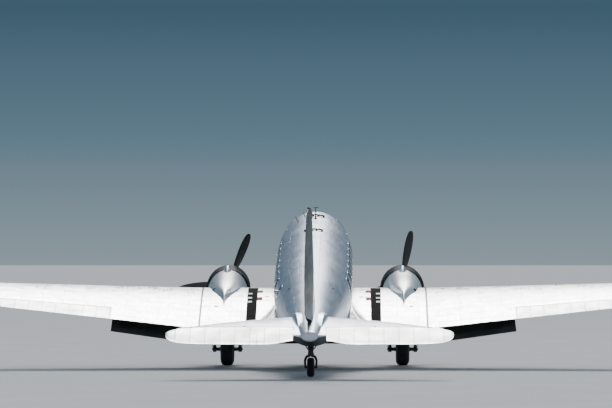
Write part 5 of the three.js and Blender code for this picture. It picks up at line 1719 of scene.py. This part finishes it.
def build_tail_gear():
    axle = TAIL_AXLE_PLACE
    head = axle + (AHEAD * 120 + SWIVEL * 385) * MM
    bm = bmesh.new()
    turned(bm, TAIL_LEG, head, SWIVEL, 36)
    brace_end = at(0, *TAIL_BRACE_END)
    start = head + SWIVEL * 0.09
    tube(bm, [start, start.lerp(brace_end, 0.5), brace_end], [38, 41, 44], 20)
    collar(bm, start, brace_end, 0.45, 50, 40)
    for s in (-1, 1):
        tube(bm, [head + (SWIVEL * 110 + GROUND_AXLE * 70 * s) * MM, at(s * 150, *TAIL_STAY_END)], 17, 12)
    piece("tail_leg", bm, GEAR_PAINT_AND_JOINT_SHADE, replaces="tail_strut", sharp=30)
    boot = bmesh.new()
    turned(boot, [(150 + 14 * i, 100 if i % 2 else 86) for i in range(13)], head, SWIVEL, 32, hollow=True)
    piece("tail_leg_boot", boot, RUBBER)

    fork = bmesh.new()
    turned(fork, [(-70, 20), (-70, 84), (-62, 92), (-6, 92), (-0.6, 88), (-0.6, 20)], head, SWIVEL, 36)
    for s in (-1, 1):
        def place(x, up, back):
            return head + (GROUND_AXLE * x * s - SWIVEL * up - AHEAD * back) * MM

        foot = axle + GROUND_AXLE * 0.158 * s
        elbow = foot.lerp(place(168, 210, 70), 0.4)
        path = bend([place(20, 55, 0), place(120, 88, 20), place(166, 200, 66), elbow, foot], 6)
        tube(fork, path, [42 - 13 * i / (len(path) - 1) for i in range(len(path))], 20)
        turned(fork, FORK_FOOT, foot, GROUND_AXLE * s, 24)
        turned(fork, [(-82, 22), (-80, 36), (0, 36), (0, 22)], foot, GROUND_AXLE * s, 20, hollow=True)
    tube(fork, [axle - GROUND_AXLE * 0.18, axle + GROUND_AXLE * 0.18], 22.4, 20)
    piece("tail_fork_arms", fork, GEAR_PAINT_AND_JOINT_SHADE, "tail_fork", "tail_fork", sharp=30)

    bm = bmesh.new()
    tyre(bm, axle, TAIL_RADIUS, 110, 116, 5, 80)
    piece("tail_tread", bm, RUBBER, "tail_wheel", "tail_tyre", sharp=28)
    bm = bmesh.new()
    turned(bm, [*TAIL_HUB, *other_way(TAIL_HUB)], axle, GROUND_AXLE, 48, hollow=True)
    for way in (-1, 1):
        studs(bm, BOLT, axle, way, 6, 0.083, 0.038, 6)
    piece("tail_hub", bm, STEEL, "tail_wheel", "tail_rim", sharp=30)


for side_word, side_sign in SIDES:
    build_main_gear(side_word, side_sign)
    build_main_wheel(side_word, side_sign)
build_tail_gear()


# Tail surfaces. Fin columns: height, leading edge, trailing edge, greatest thickness.
FIN = fine([
    (720, 14800, 19330, 255),
    (1250, 15400, 19500, 245),
    (2200, 16270, 19660, 220),
    (3000, 16820, 19520, 190),
    (3600, 17240, 19290, 160),
    (3980, 17540, 19060, 130),
    (4150, 17780, 18850, 90),
    (4220, 18050, 18600, 40),
], 6)
RUDDER = {"hinge": 17990, "low": 960, "horn": 3860, "heel": 18130, "rise": 0.35}
FIN_ROOT = ((951, 18130), (890, 18417), (830, 18700), (775, 18820), (740, 18898))  # height, rear end
RUDDER_HINGE = at(0, RUDDER["hinge"], 0)
RUDDER_SWING = Matrix.Rotation(math.radians(-4.5), 4, "Z")  # as parked, its rear edge to port
RUDDER_TURN = Matrix.Translation(RUDDER_HINGE) @ RUDDER_SWING @ Matrix.Translation(-RUDDER_HINGE)
# Tailplane columns: distance out, leading edge, trailing edge, greatest thickness.
TAILPLANE = fine([
    (0, 16480, 18845, 245),
    (470, 16580, 18845, 238),
    (1080, 16740, 19070, 226),
    (2200, 17180, 19075, 196),
    (3300, 17760, 19050, 150),
    (3750, 18060, 18960, 112),
    (3980, 18200, 18780, 70),
    (4064, 18330, 18520, 30),
], 6)
ELEVATOR = {"hinge": 18130, "z": 700, "inner": 470, "horn": 3560, "droop": math.radians(13)}


def tail_form(table, place):
    _, le, te, thick = row_at(table, place)
    return le, te, max(thick, 24.0)


def tail_point(table, place, t, level, offset=0.0):
    le, te, thick = tail_form(table, place)
    chord = te - le
    half, _ = profile_heights(t, thick / chord)
    high = level * (max(half * chord, min(EDGE * t, thick * 0.3)) + offset)
    if table is FIN:
        return at(high, le + t * chord, place)
    return at(place, le + t * chord, ELEVATOR["z"] + high)


def hinge_share(table, place, hinge):
    le, te, _ = tail_form(table, place)
    return (hinge - le) / (te - le)


def tail_fixed(point_of, start, across):
    return cove_section(point_of, start, across, 22)


def tail_moving(point_of, start, across):
    return moving_section(point_of, start, across, 16)


def tail_whole(point_of):
    return plain_section(point_of, 22)


# Trim tabs' outlines, each as narrow strips. Columns: ends along the span, ends along the chord, points.
RUDDER_TAB = (
    ((1500, 2450), (0.865, 0.869), (16, 2)),
    ((1500, 1509), (0.865, 0.995), (2, 10)),
    ((2450, 2459), (0.865, 0.995), (2, 10)),
)
ELEVATOR_TAB = (
    ((1300, 2200), (0.925, 0.928), (14, 2)),
    ((1300, 1307), (0.925, 0.995), (2, 8)),
    ((2200, 2207), (0.925, 0.995), (2, 8)),
)


# Lays a trim tab's outline on both skins, each row of points moved as the surface is.
def tab_gap(bm, table, patches, moved):
    for level in (1, -1):
        for place_ends, t_ends, (many, few) in patches:
            along = spread(*t_ends, few)
            rows = [[tail_point(table, p, t, level, 1.5) for t in along] for p in spread(*place_ends, many)]
            sheet(bm, [moved(row) for row in rows])


def build_fin():
    def at_height(z, lowest=0.0):
        """A level section, or one that rises aft of the heel by a share of the rudder's lower edge."""
        def point(t, level):
            le, te, _ = tail_form(FIN, z)
            aft = max(0.0, le + t * (te - le) - RUDDER["heel"])
            place = z + aft * RUDDER["rise"] * lowest
            return tail_point(FIN, place, t, level)
        return point

    bm = bmesh.new()
    horn = RUDDER["horn"] - MOVING_GAP
    heights = spread(RUDDER["low"] - MOVING_GAP, horn, 26)
    skin(bm, [tail_fixed(at_height(z), hinge_share(FIN, z, RUDDER["hinge"]), STARBOARD) for z in heights])
    # Below the rudder the fin's root runs back and down on to the tail cone.
    rings = []
    for z, rear in FIN_ROOT:
        end = hinge_share(FIN, z, rear)
        upper = [tail_point(FIN, z, t, 1) for t in chord_places(end, 0, 22)]
        lower = [tail_point(FIN, z, t, -1) for t in chord_places(0, end, 22)[1:]]
        rings.append([*upper, *lower])
    skin(bm, rings)
    piece("fin_skin", bm, TAIL_SKIN, replaces="fin", uv=upright_uv)

    # The rudder, in dark grey fabric as painted shade.
    bm = bmesh.new()
    rings = []
    for share in spread(0, 1, 26):
        z = RUDDER["low"] + (RUDDER["horn"] - RUDDER["low"]) * share
        rings.append(tail_moving(at_height(z, 1 - share), hinge_share(FIN, z, RUDDER["hinge"]), STARBOARD))
    skin(bm, rings)
    skin(bm, [tail_whole(at_height(z)) for z in [*spread(RUDDER["horn"], 4150, 10), 4180, 4200, 4214, 4220]])
    bm.transform(RUDDER_TURN)
    piece("rudder_skin", bm, RUDDER_SHADE_FABRIC, "rudder", "rudder", uv=upright_uv)

    # Trim tab outline, hinge brackets, and the lamp on the fin's cap.
    bm = bmesh.new()
    tab_gap(bm, FIN, RUDDER_TAB, list)
    bm.transform(RUDDER_TURN)
    piece("rudder_tab_gap", bm, BLACK_SEAL_AND_SHADE, "rudder")
    bm = bmesh.new()
    for z in (1480, 2300, 3150):
        start = hinge_share(FIN, z, RUDDER["hinge"])
        for level in (1, -1):
            x, back = tail_point(FIN, z, start - 0.03, level).x / MM, RUDDER["hinge"]
            slab(bm, (x - 12, back - 100, z - 14), (x + 12, back - 20, z + 14), 5)
    piece("fin_brackets", bm, STEEL)
    bm = bmesh.new()
    base = RUDDER_TURN @ at(0, 18320, 4216)
    turned(bm, [(-6, 0), (-6, 42), (4, 42), (6, 34), (30, 34), (34, 30)], base, UP, 28)
    piece("beacon_base", bm, BLACK_PAINT, "rudder")
    bm = bmesh.new()
    turned(bm, [(6, 30), (28, 29), (44, 24), (54, 14), (58, 0)], base, UP, 28)
    piece("beacon_lens", bm, LAMP_RED, "rudder")


# Tail root fairings: station, and how far they reach out from the hull.
TAIL_ROOT = fine([
    (16520, 10), (16700, 52), (17000, 118), (17300, 140), (17600, 118), (17850, 74), (18040, 30), (18100, 12),
], 5)


def build_tailplane(word, side):
    bm = bmesh.new()

    def at_place(x):
        return lambda t, level: tail_point(TAILPLANE, x, t, level)

    hinge = ELEVATOR["hinge"]
    fixed_from = ELEVATOR["inner"] - MOVING_GAP
    places = spread(fixed_from, ELEVATOR["horn"] - MOVING_GAP, 22)
    skin(bm, [mirror(tail_fixed(at_place(x), hinge_share(TAILPLANE, x, hinge), UP), side) for x in places])
    skin(bm, [mirror(tail_whole(at_place(x)), side) for x in spread(0.2, fixed_from, 6)])
    fixed = f"tailplane_{word}"
    piece(f"tailplane_skin_{word}", bm, TAIL_SKIN, replaces=fixed, uv=span_uv)

    # A hollow-cheeked fairing between the hull's side and the tailplane's top.
    bm = bmesh.new()
    rings = []
    for station, reach in TAIL_ROOT:
        top = tail_point(TAILPLANE, 470, hinge_share(TAILPLANE, 470, station), 1).z / MM
        half = hull_at(station, hull_angle(station, top)).x / MM
        ring = [at(half * 0.6, station, top - 40), at(half + reach, station, top - 6)]
        for angle in spread(0, math.pi / 2, 10):
            place = half - 6 + (reach + 6) * math.cos(angle) ** 4
            ring.append(at(place, station, top + 3 + reach * 1.3 * math.sin(angle) ** 4))
        ring.append(at(half * 0.6, station, top + 3 + reach * 1.3))
        rings.append(mirror(ring, side))
    skin(bm, rings)
    piece(f"tail_root_fairing_{word}", bm, HULL_SKIN, sharp=50, uv=span_uv)

    a = at(ELEVATOR["inner"], hinge, ELEVATOR["z"])
    droop = Matrix.Translation(a) @ Matrix.Rotation(ELEVATOR["droop"], 4, "X") @ Matrix.Translation(-a)

    def hung(points):
        return mirror([droop @ p for p in points], side)

    bm = bmesh.new()
    places = spread(ELEVATOR["inner"], ELEVATOR["horn"], 24)
    skin(bm, [hung(tail_moving(at_place(x), hinge_share(TAILPLANE, x, hinge), UP)) for x in places])
    tips = [*spread(ELEVATOR["horn"], 3980, 12), 4010, 4035, 4052, 4062]
    skin(bm, [hung(tail_whole(at_place(x))) for x in tips])
    body = f"elevator_{word}"
    piece(f"elevator_skin_{word}", bm, FABRIC, body, body, uv=span_uv)

    bm = bmesh.new()
    tab_gap(bm, TAILPLANE, ELEVATOR_TAB, hung)
    piece(f"elevator_tab_gap_{word}", bm, BLACK_SEAL_AND_SHADE, body)

    brackets = bmesh.new()
    for x in (1850, 3350):
        z = tail_point(TAILPLANE, x, hinge_share(TAILPLANE, x, hinge) - 0.005, 1).z / MM
        slab(brackets, (side * x - 22, hinge - 80, z - 30), (side * x + 22, hinge - 10, z + 14), 5)
    piece(f"elevator_brackets_{word}", brackets, BLACK_PAINT)
    if side < 0:
        horn_bm = bmesh.new()
        foot = mirror([droop @ tail_point(TAILPLANE, 1480, 0.93, 1)], side)[0]
        x, station, z = foot.x / MM, -foot.y / MM, foot.z / MM
        slab(horn_bm, (x - 7, station - 22, z - 12), (x + 7, station + 22, z + 62), 4)
        tube(horn_bm, [foot + at(0, 0, 48), foot + at(0, -330, 122)], 5, 8)
        piece("elevator_tab_horn", horn_bm, BLACK_PAINT, body)


build_fin()
for side_word, side_sign in SIDES:
    build_tailplane(side_word, side_sign)


# Interior. Cushions are crowned closed forms with a welt and sewn channels, on metal frames.
FLOOR_Z = -560
PILOT_SEAT = {"x": 480, "station": 2500, "width": 480}
CABIN_SEATS = {"first": 4450, "pitch": 960, "count": 7}
CABIN_COLUMNS = (("left", -545, 690, 5), ("right", 680, 410, 3))  # side, place across, width, channels
CUSHION_STEPS = 20
SQUAB = {"deep": 440, "thick": 120, "z": 385}
BACK = {"tall": 640, "thick": 110}
BACK_LEAN = math.atan2(110, 640)


def cushion(wide, deep, thick, channels, place):
    """A cushion lying in its own frame, crowned above and below, then moved to its place."""
    bm = bmesh.new()
    count = CUSHION_STEPS
    shares = [math.sin(math.pi / 2 * v) for v in spread(-1, 1, count + 1)]

    def point(u, v, level):
        pull = 0.045
        x = wide / 2 * u * (1 - pull * (1 - v * v))
        y = deep / 2 * v * (1 - pull * (1 - u * u))
        edge = max(0.0, (1 - abs(u) ** 5) * (1 - abs(v) ** 5)) ** 0.45
        crown = 0.72 + 0.28 * (1 - u * u) * (1 - v * v)
        lines = range(-channels + 2, channels, 2)
        sewn = min(abs(u * channels / 2 - k / 2) for k in lines) if level > 0 else 1.0
        seam = 9 * math.exp(-((sewn / 0.07) ** 2)) * edge
        height = thick / 2 * edge * (crown if level > 0 else 0.8) - seam
        return place @ (Vector((x, y, level * height)) * MM)

    for level in (1, -1):
        sheet(bm, [[point(u, v, level) for v in shares] for u in shares])
    rim = [(u, -1) for u in shares] + [(1, v) for v in shares[1:]]
    rim += [(u, 1) for u in shares[::-1][1:]] + [(-1, v) for v in shares[::-1][1:]]
    tube(bm, [point(u, v, 1) for u, v in rim], 7, 8, caps=False)
    return bm


def build_seat(name, x, station, wide, channels, frames):
    def spot(across, aft, up):
        return (across, station + aft, FLOOR_Z + up)

    tilt = Matrix.Rotation(math.radians(4), 4, "X")
    lean = Matrix.Rotation(BACK_LEAN - math.pi / 2, 4, "X")
    pads = (
        ("squab", SQUAB["deep"], SQUAB["thick"], at(*spot(x, -225, SQUAB["z"])), tilt),
        ("back", BACK["tall"], BACK["thick"], at(*spot(x, 105, 455 + BACK["tall"] / 2)), lean),
    )
    made = []
    for part, deep, thick, middle, turn in pads:
        bm = cushion(wide - 40, deep, thick, channels, Matrix.Translation(middle) @ turn)
        pad = piece(f"{name}_{part}", bm, LEATHER)
        made.append(pad)
    half = wide / 2 - 16
    for out in (x - half, x + half):
        rail = [at(*spot(out, aft, up)) for aft, up in ((-440, 330), (-20, 322), (40, 420), (185, 1080))]
        tube(frames, bend(rail, 5), 12, 8)
        for aft in (-400, -30):
            tube(frames, [at(*spot(out, aft, up)) for up in (8, 328)], 11, 8)
        slab(frames, spot(out - 22, -400, 610), spot(out + 22, -10, 640), 10)
        tube(frames, [at(*spot(out, -370, up)) for up in (330, 612)], 9, 8)
    slab(frames, spot(x - half, -430, 312), spot(x + half, -10, 322), 3)
    slab(frames, spot(x - half, -436, 2), spot(x + half, -400, 12), 3)
    return made[0]


def build_seats():
    x, station, wide = PILOT_SEAT["x"], PILOT_SEAT["station"], PILOT_SEAT["width"]
    for word, side in SIDES:
        frames = bmesh.new()
        squab = build_seat(f"pilot_{word}", side * x, station, wide, 3, frames)
        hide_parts(f"pilot_seat_{word}")
        piece(f"pilot_frame_{word}", frames, STEEL)
    first, pitch, count = CABIN_SEATS["first"], CABIN_SEATS["pitch"], CABIN_SEATS["count"]
    last = first + pitch * (count - 1)
    for word, x, wide, channels in CABIN_COLUMNS:
        frames = bmesh.new()
        for i in range(count):
            squab = build_seat(f"cabin_{word}_{i + 1}", x, first + pitch * i, wide, channels, frames)
            if i == 0:
                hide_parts(f"seats_{word}")
        for rail in (x - wide / 2 + 30, x + wide / 2 - 30):
            slab(frames, (rail - 12, first - 440, FLOOR_Z + 1), (rail + 12, last, FLOOR_Z + 10), 3)
        piece(f"cabin_frames_{word}", frames, STEEL)


INSIDE_LOOKS = {
    "cockpit_floor": CARPET,
    "cabin_floor": CARPET,
    "bulkhead": LINING,
    "instrument_panel": BLACK_PAINT,
}


def build_cockpit_inside():
    for name, look in INSIDE_LOOKS.items():
        frame["nodes"][name].data.materials[0] = look

    # Dials on the panel, a control wheel for each pilot, and the levers between them.
    bezels, faces = bmesh.new(), bmesh.new()
    for x in spread(-540, 540, 7):
        for z, r in ((150, 46), (280, 54), (400, 42)):
            if abs(x) < 60 and z < 200:
                continue
            place = at(x, 1601, z)
            turned(bezels, [(-2, r + 7), (7, r + 7), (9, r), (2, r), (-2, r)], place, AFT, 24, hollow=True)
            turned(faces, [(-1, r), (3, r), (3.5, 0)], place, AFT, 20)
    piece("dial_bezels", bezels, STEEL)
    piece("dial_faces", faces, DARK_GLASS)
    controls = bmesh.new()
    for _, side in SIDES:
        x = side * PILOT_SEAT["x"]
        tube(controls, bend([at(x, 1930, FLOOR_Z + 2), at(x, 1900, -200), at(x, 1850, 60)], 6), 22, 12)
        rim = [
            at(x + 165 * math.sin(a), 1862 + 20 * math.cos(a), 70 + 150 * math.cos(a))
            for a in spread(0.5, 5.78, 25)
        ]
        tube(controls, rim, 12, 10)
        for a in (1.6, 3.14, 4.7):
            tube(controls, [at(x, 1856, 62), at(x + 160 * math.sin(a), 1862, 70 + 145 * math.cos(a))], 9, 8)
        for pedal in (x - 110, x + 110):
            slab(controls, (pedal - 45, 1680, FLOOR_Z + 70), (pedal + 45, 1700, FLOOR_Z + 210), 8)
            tube(controls, [at(pedal, 1690, FLOOR_Z + 120), at(pedal, 1640, FLOOR_Z + 4)], 12, 8)
    slab(controls, (-130, 1606, FLOOR_Z + 2), (130, 1900, 60), 20)
    knob = [(-16, 0), (-14, 12), (0, 17), (14, 12), (16, 0)]
    for x in (-90, -54, -18, 18, 54, 90):
        tube(controls, [at(x, 1760, 56), at(x, 1800, 190)], 6, 8)
        turned(controls, knob, at(x, 1803, 196), STARBOARD, 14)
    piece("flight_controls", controls, BLACK_PAINT)


# Aerials, probes, lamps and vents on the hull.
CREST_BARS = ((3500, 16), (6030, -18))  # station, place across
CREST_BAR = {"half": 300, "tall": 74, "tube": 27}
MAST = {"x": 25, "station": 3950, "tall": 362, "arm": 80}
WHISKERS = ((-524, 3900, -630, 3840, 178), (-313, 3480, -377, 3440, 163))  # foot, tip, rise
SIDE_LAMPS = ((-1, 3450, 870), (1, 3450, 720))
SHOULDER_VENTS = ((-1, 13180, 893), (1, 13270, 914))


def crest_z(x, station):
    _, half, top, wide, _ = row_at(FUSELAGE, station)
    return wide + (top - wide) * math.sqrt(1 - (x / half) ** 2)


# Turned fittings that stand square to the hull's side. Columns of places: side, station, height.
def build_hull_fittings(name, places, rows, look):
    bm = bmesh.new()
    for side, station, z in places:
        foot = hull_side(side, station, z, 0)
        turned(bm, rows, foot, (hull_side(side, station, z, 50) - foot).normalized(), 20)
    piece(name, bm, look)


def build_aerials():
    bars = bmesh.new()
    half, tall = CREST_BAR["half"], CREST_BAR["tall"]
    for station, middle in CREST_BARS:
        places = spread(middle - half, middle + half, 12)
        line = [at(x, station, crest_z(x, station) + tall * 0.62) for x in places]
        tube(bars, line, CREST_BAR["tube"], 12)
        for x in spread(middle - half + 40, middle + half - 40, 4):
            foot = at(x, station, crest_z(x, station))
            turned(bars, [(-20, 46), (4, 44), (12, 20), (tall * 0.6, 16)], foot, UP, 14)
    foot = at(MAST["x"], MAST["station"], crest_z(MAST["x"], MAST["station"]))
    turned(bars, [(-20, 60), (2, 58), (16, 34), (60, 26), (90, 14), (MAST["tall"], 12)], foot, UP, 20)
    head = foot + at(0, 0, MAST["tall"])
    tube(bars, [head + at(-MAST["arm"], 0, 0), head + at(MAST["arm"], 0, 0)], 13, 10)
    tube(bars, [head + at(0, -90, 0), head + at(0, 90, 0)], 9, 10)
    for x0, s0, x1, s1, rise in WHISKERS:
        z = crest_z(x0, s0)
        line = [at(x0, s0, z - 10), at((x0 + x1) / 2, (s0 + s1) / 2, z + rise * 0.45), at(x1, s1, z + rise)]
        tube(bars, line, [16, 12, 7], 10)
    piece("crest_aerials", bars, BLACK_PAINT)

    lamp = [(-10, 34), (6, 34), (22, 30), (36, 18), (42, 0)]
    build_hull_fittings("side_lamps", SIDE_LAMPS, lamp, LAMP_CLEAR)
    build_hull_fittings("hull_vents", SHOULDER_VENTS, [(-10, 40), (8, 40), (12, 32), (12, 0)], BLACK_SEAL_AND_SHADE)

    # Two air-speed probes under the nose, and the radio loop's teardrop.
    probes = bmesh.new()
    for x in (-330, 330):
        line = [at(x, 1350, -1090), at(x, 1340, -1280), at(x, 1260, -1330)]
        tube(probes, bend(line, 6), [30, 30, 28, 26, 24, 22, 20, 19, 18, 18, 18, 18, 18], 12)
        tube(probes, [at(x, 1290, -1328), at(x, 960, -1332)], [17, 10], 12)
    piece("airspeed_probes", probes, STEEL)
    loop = bmesh.new()
    rows = [(-260, 2), (-240, 44), (-180, 86), (-90, 110), (20, 104), (160, 70), (280, 30), (340, 2)]
    turned(loop, rows, at(0, 3900, -1300), AFT, 28)
    slab(loop, (-22, 3830, -1290), (22, 4020, -1190), 10)
    piece("radio_loop", loop, BLACK_PAINT)


build_seats()
build_cockpit_inside()
build_aerials()


# Stage, light and camera.
FLOOR_SIZE = 9000
CAMERA_PLACE = Vector((1.20, -110.06, 3.30))
CAMERA_YAW = math.radians(-0.735)
CAMERA_PITCH = math.radians(0.934)
CAMERA_LENS = 211.9


def build_floor():
    look = Look("pale_floor", (0.44, 0.45, 0.46), 0.9)
    mottle = look.ramp(look.noise(0.35, 6.0), 0.3, 0.7)
    look.colour(look.mix(mottle, (0.45, 0.46, 0.47), (0.41, 0.42, 0.43)))
    look.bump(look.noise(40.0, 3.0), 0.002)
    bm = bmesh.new()
    bmesh.ops.create_grid(bm, x_segments=1, y_segments=1, size=FLOOR_SIZE / 2)
    mesh = bpy.data.meshes.new("floor")
    bm.to_mesh(mesh)
    bm.free()
    mesh.materials.append(look.material)
    floor = bpy.data.objects.new("floor", mesh)
    bpy.context.scene.collection.objects.link(floor)


def build_sky():
    world = bpy.data.worlds.new("studio")
    bpy.context.scene.world = world
    world.use_nodes = True
    tree = world.node_tree
    shade = next(node for node in tree.nodes if node.type == "BACKGROUND")
    height = tree.nodes.new("ShaderNodeSeparateXYZ")
    tree.links.new(tree.nodes.new("ShaderNodeTexCoord").outputs["Generated"], height.inputs[0])
    ramp = tree.nodes.new("ShaderNodeValToRGB")
    tree.links.new(height.outputs[2], ramp.inputs[0])
    tree.links.new(ramp.outputs[0], shade.inputs[0])
    tones = (
        (0.0, (0.30, 0.38, 0.43)),
        (0.035, (0.13, 0.22, 0.29)),
        (0.07, (0.06, 0.125, 0.18)),
        (0.3, (0.10, 0.18, 0.25)),
        (1.0, (0.09, 0.16, 0.23)),
    )
    while len(ramp.color_ramp.elements) < len(tones):
        ramp.color_ramp.elements.new(0.5)
    for element, (place, tone) in zip(ramp.color_ramp.elements, tones):
        element.position = place
        element.color = (*tone, 1)
    shade.inputs[1].default_value = 0.9


# The way to a light, by its compass angle from the nose and its height.
def light_from(azimuth, elevation):
    turn, rise = math.radians(azimuth), math.radians(elevation)
    return Vector((math.sin(turn) * math.cos(rise), math.cos(turn) * math.cos(rise), math.sin(rise)))


# A lamp of some kind that shines from there to the middle of the scene.
def add_light(name, kind, azimuth, elevation, power, tone):
    data = bpy.data.lights.new(name, kind)
    data.energy = power
    data.color = tone
    lamp = bpy.data.objects.new(name, data)
    bpy.context.scene.collection.objects.link(lamp)
    lamp.rotation_mode = "QUATERNION"
    lamp.rotation_quaternion = light_from(azimuth, elevation).to_track_quat("Z", "Y")
    return lamp


# A wide soft light from very far off, so that the floor is lit alike everywhere.
def wide_light(name, azimuth, elevation, spread_degrees, power, tone):
    lamp = add_light(name, "SUN", azimuth, elevation, power, tone)
    lamp.data.angle = math.radians(spread_degrees)


# A large panel at a distance.
def soft_light(name, azimuth, elevation, distance, size, power, tone):
    lamp = add_light(name, "AREA", azimuth, elevation, power, tone)
    lamp.data.shape = "RECTANGLE"
    lamp.data.size, lamp.data.size_y = size
    lamp.location = light_from(azimuth, elevation) * distance
    lamp.visible_camera = False


def build_camera():
    data = bpy.data.cameras.new("camera")
    data.lens = CAMERA_LENS
    data.clip_start, data.clip_end = 1.0, FLOOR_SIZE
    camera = bpy.data.objects.new("camera", data)
    bpy.context.scene.collection.objects.link(camera)
    camera.location = CAMERA_PLACE
    camera.rotation_euler = (math.pi / 2 + CAMERA_PITCH, 0, -CAMERA_YAW)
    bpy.context.scene.camera = camera


build_floor()
build_sky()
wide_light("key", 4, 50, 26, 3.0, (1.0, 0.97, 0.93))
wide_light("overhead", 150, 72, 90, 1.0, (0.92, 0.94, 1.0))
soft_light("fill_left", -75, 30, 90, (50, 40), 3000, (0.85, 0.93, 1.0))
soft_light("fill_right", 75, 30, 90, (50, 40), 9000, (0.92, 0.96, 1.0))
soft_light("fill_back", 180, 30, 120, (70, 30), 7000, (0.88, 0.94, 1.0))
build_camera()
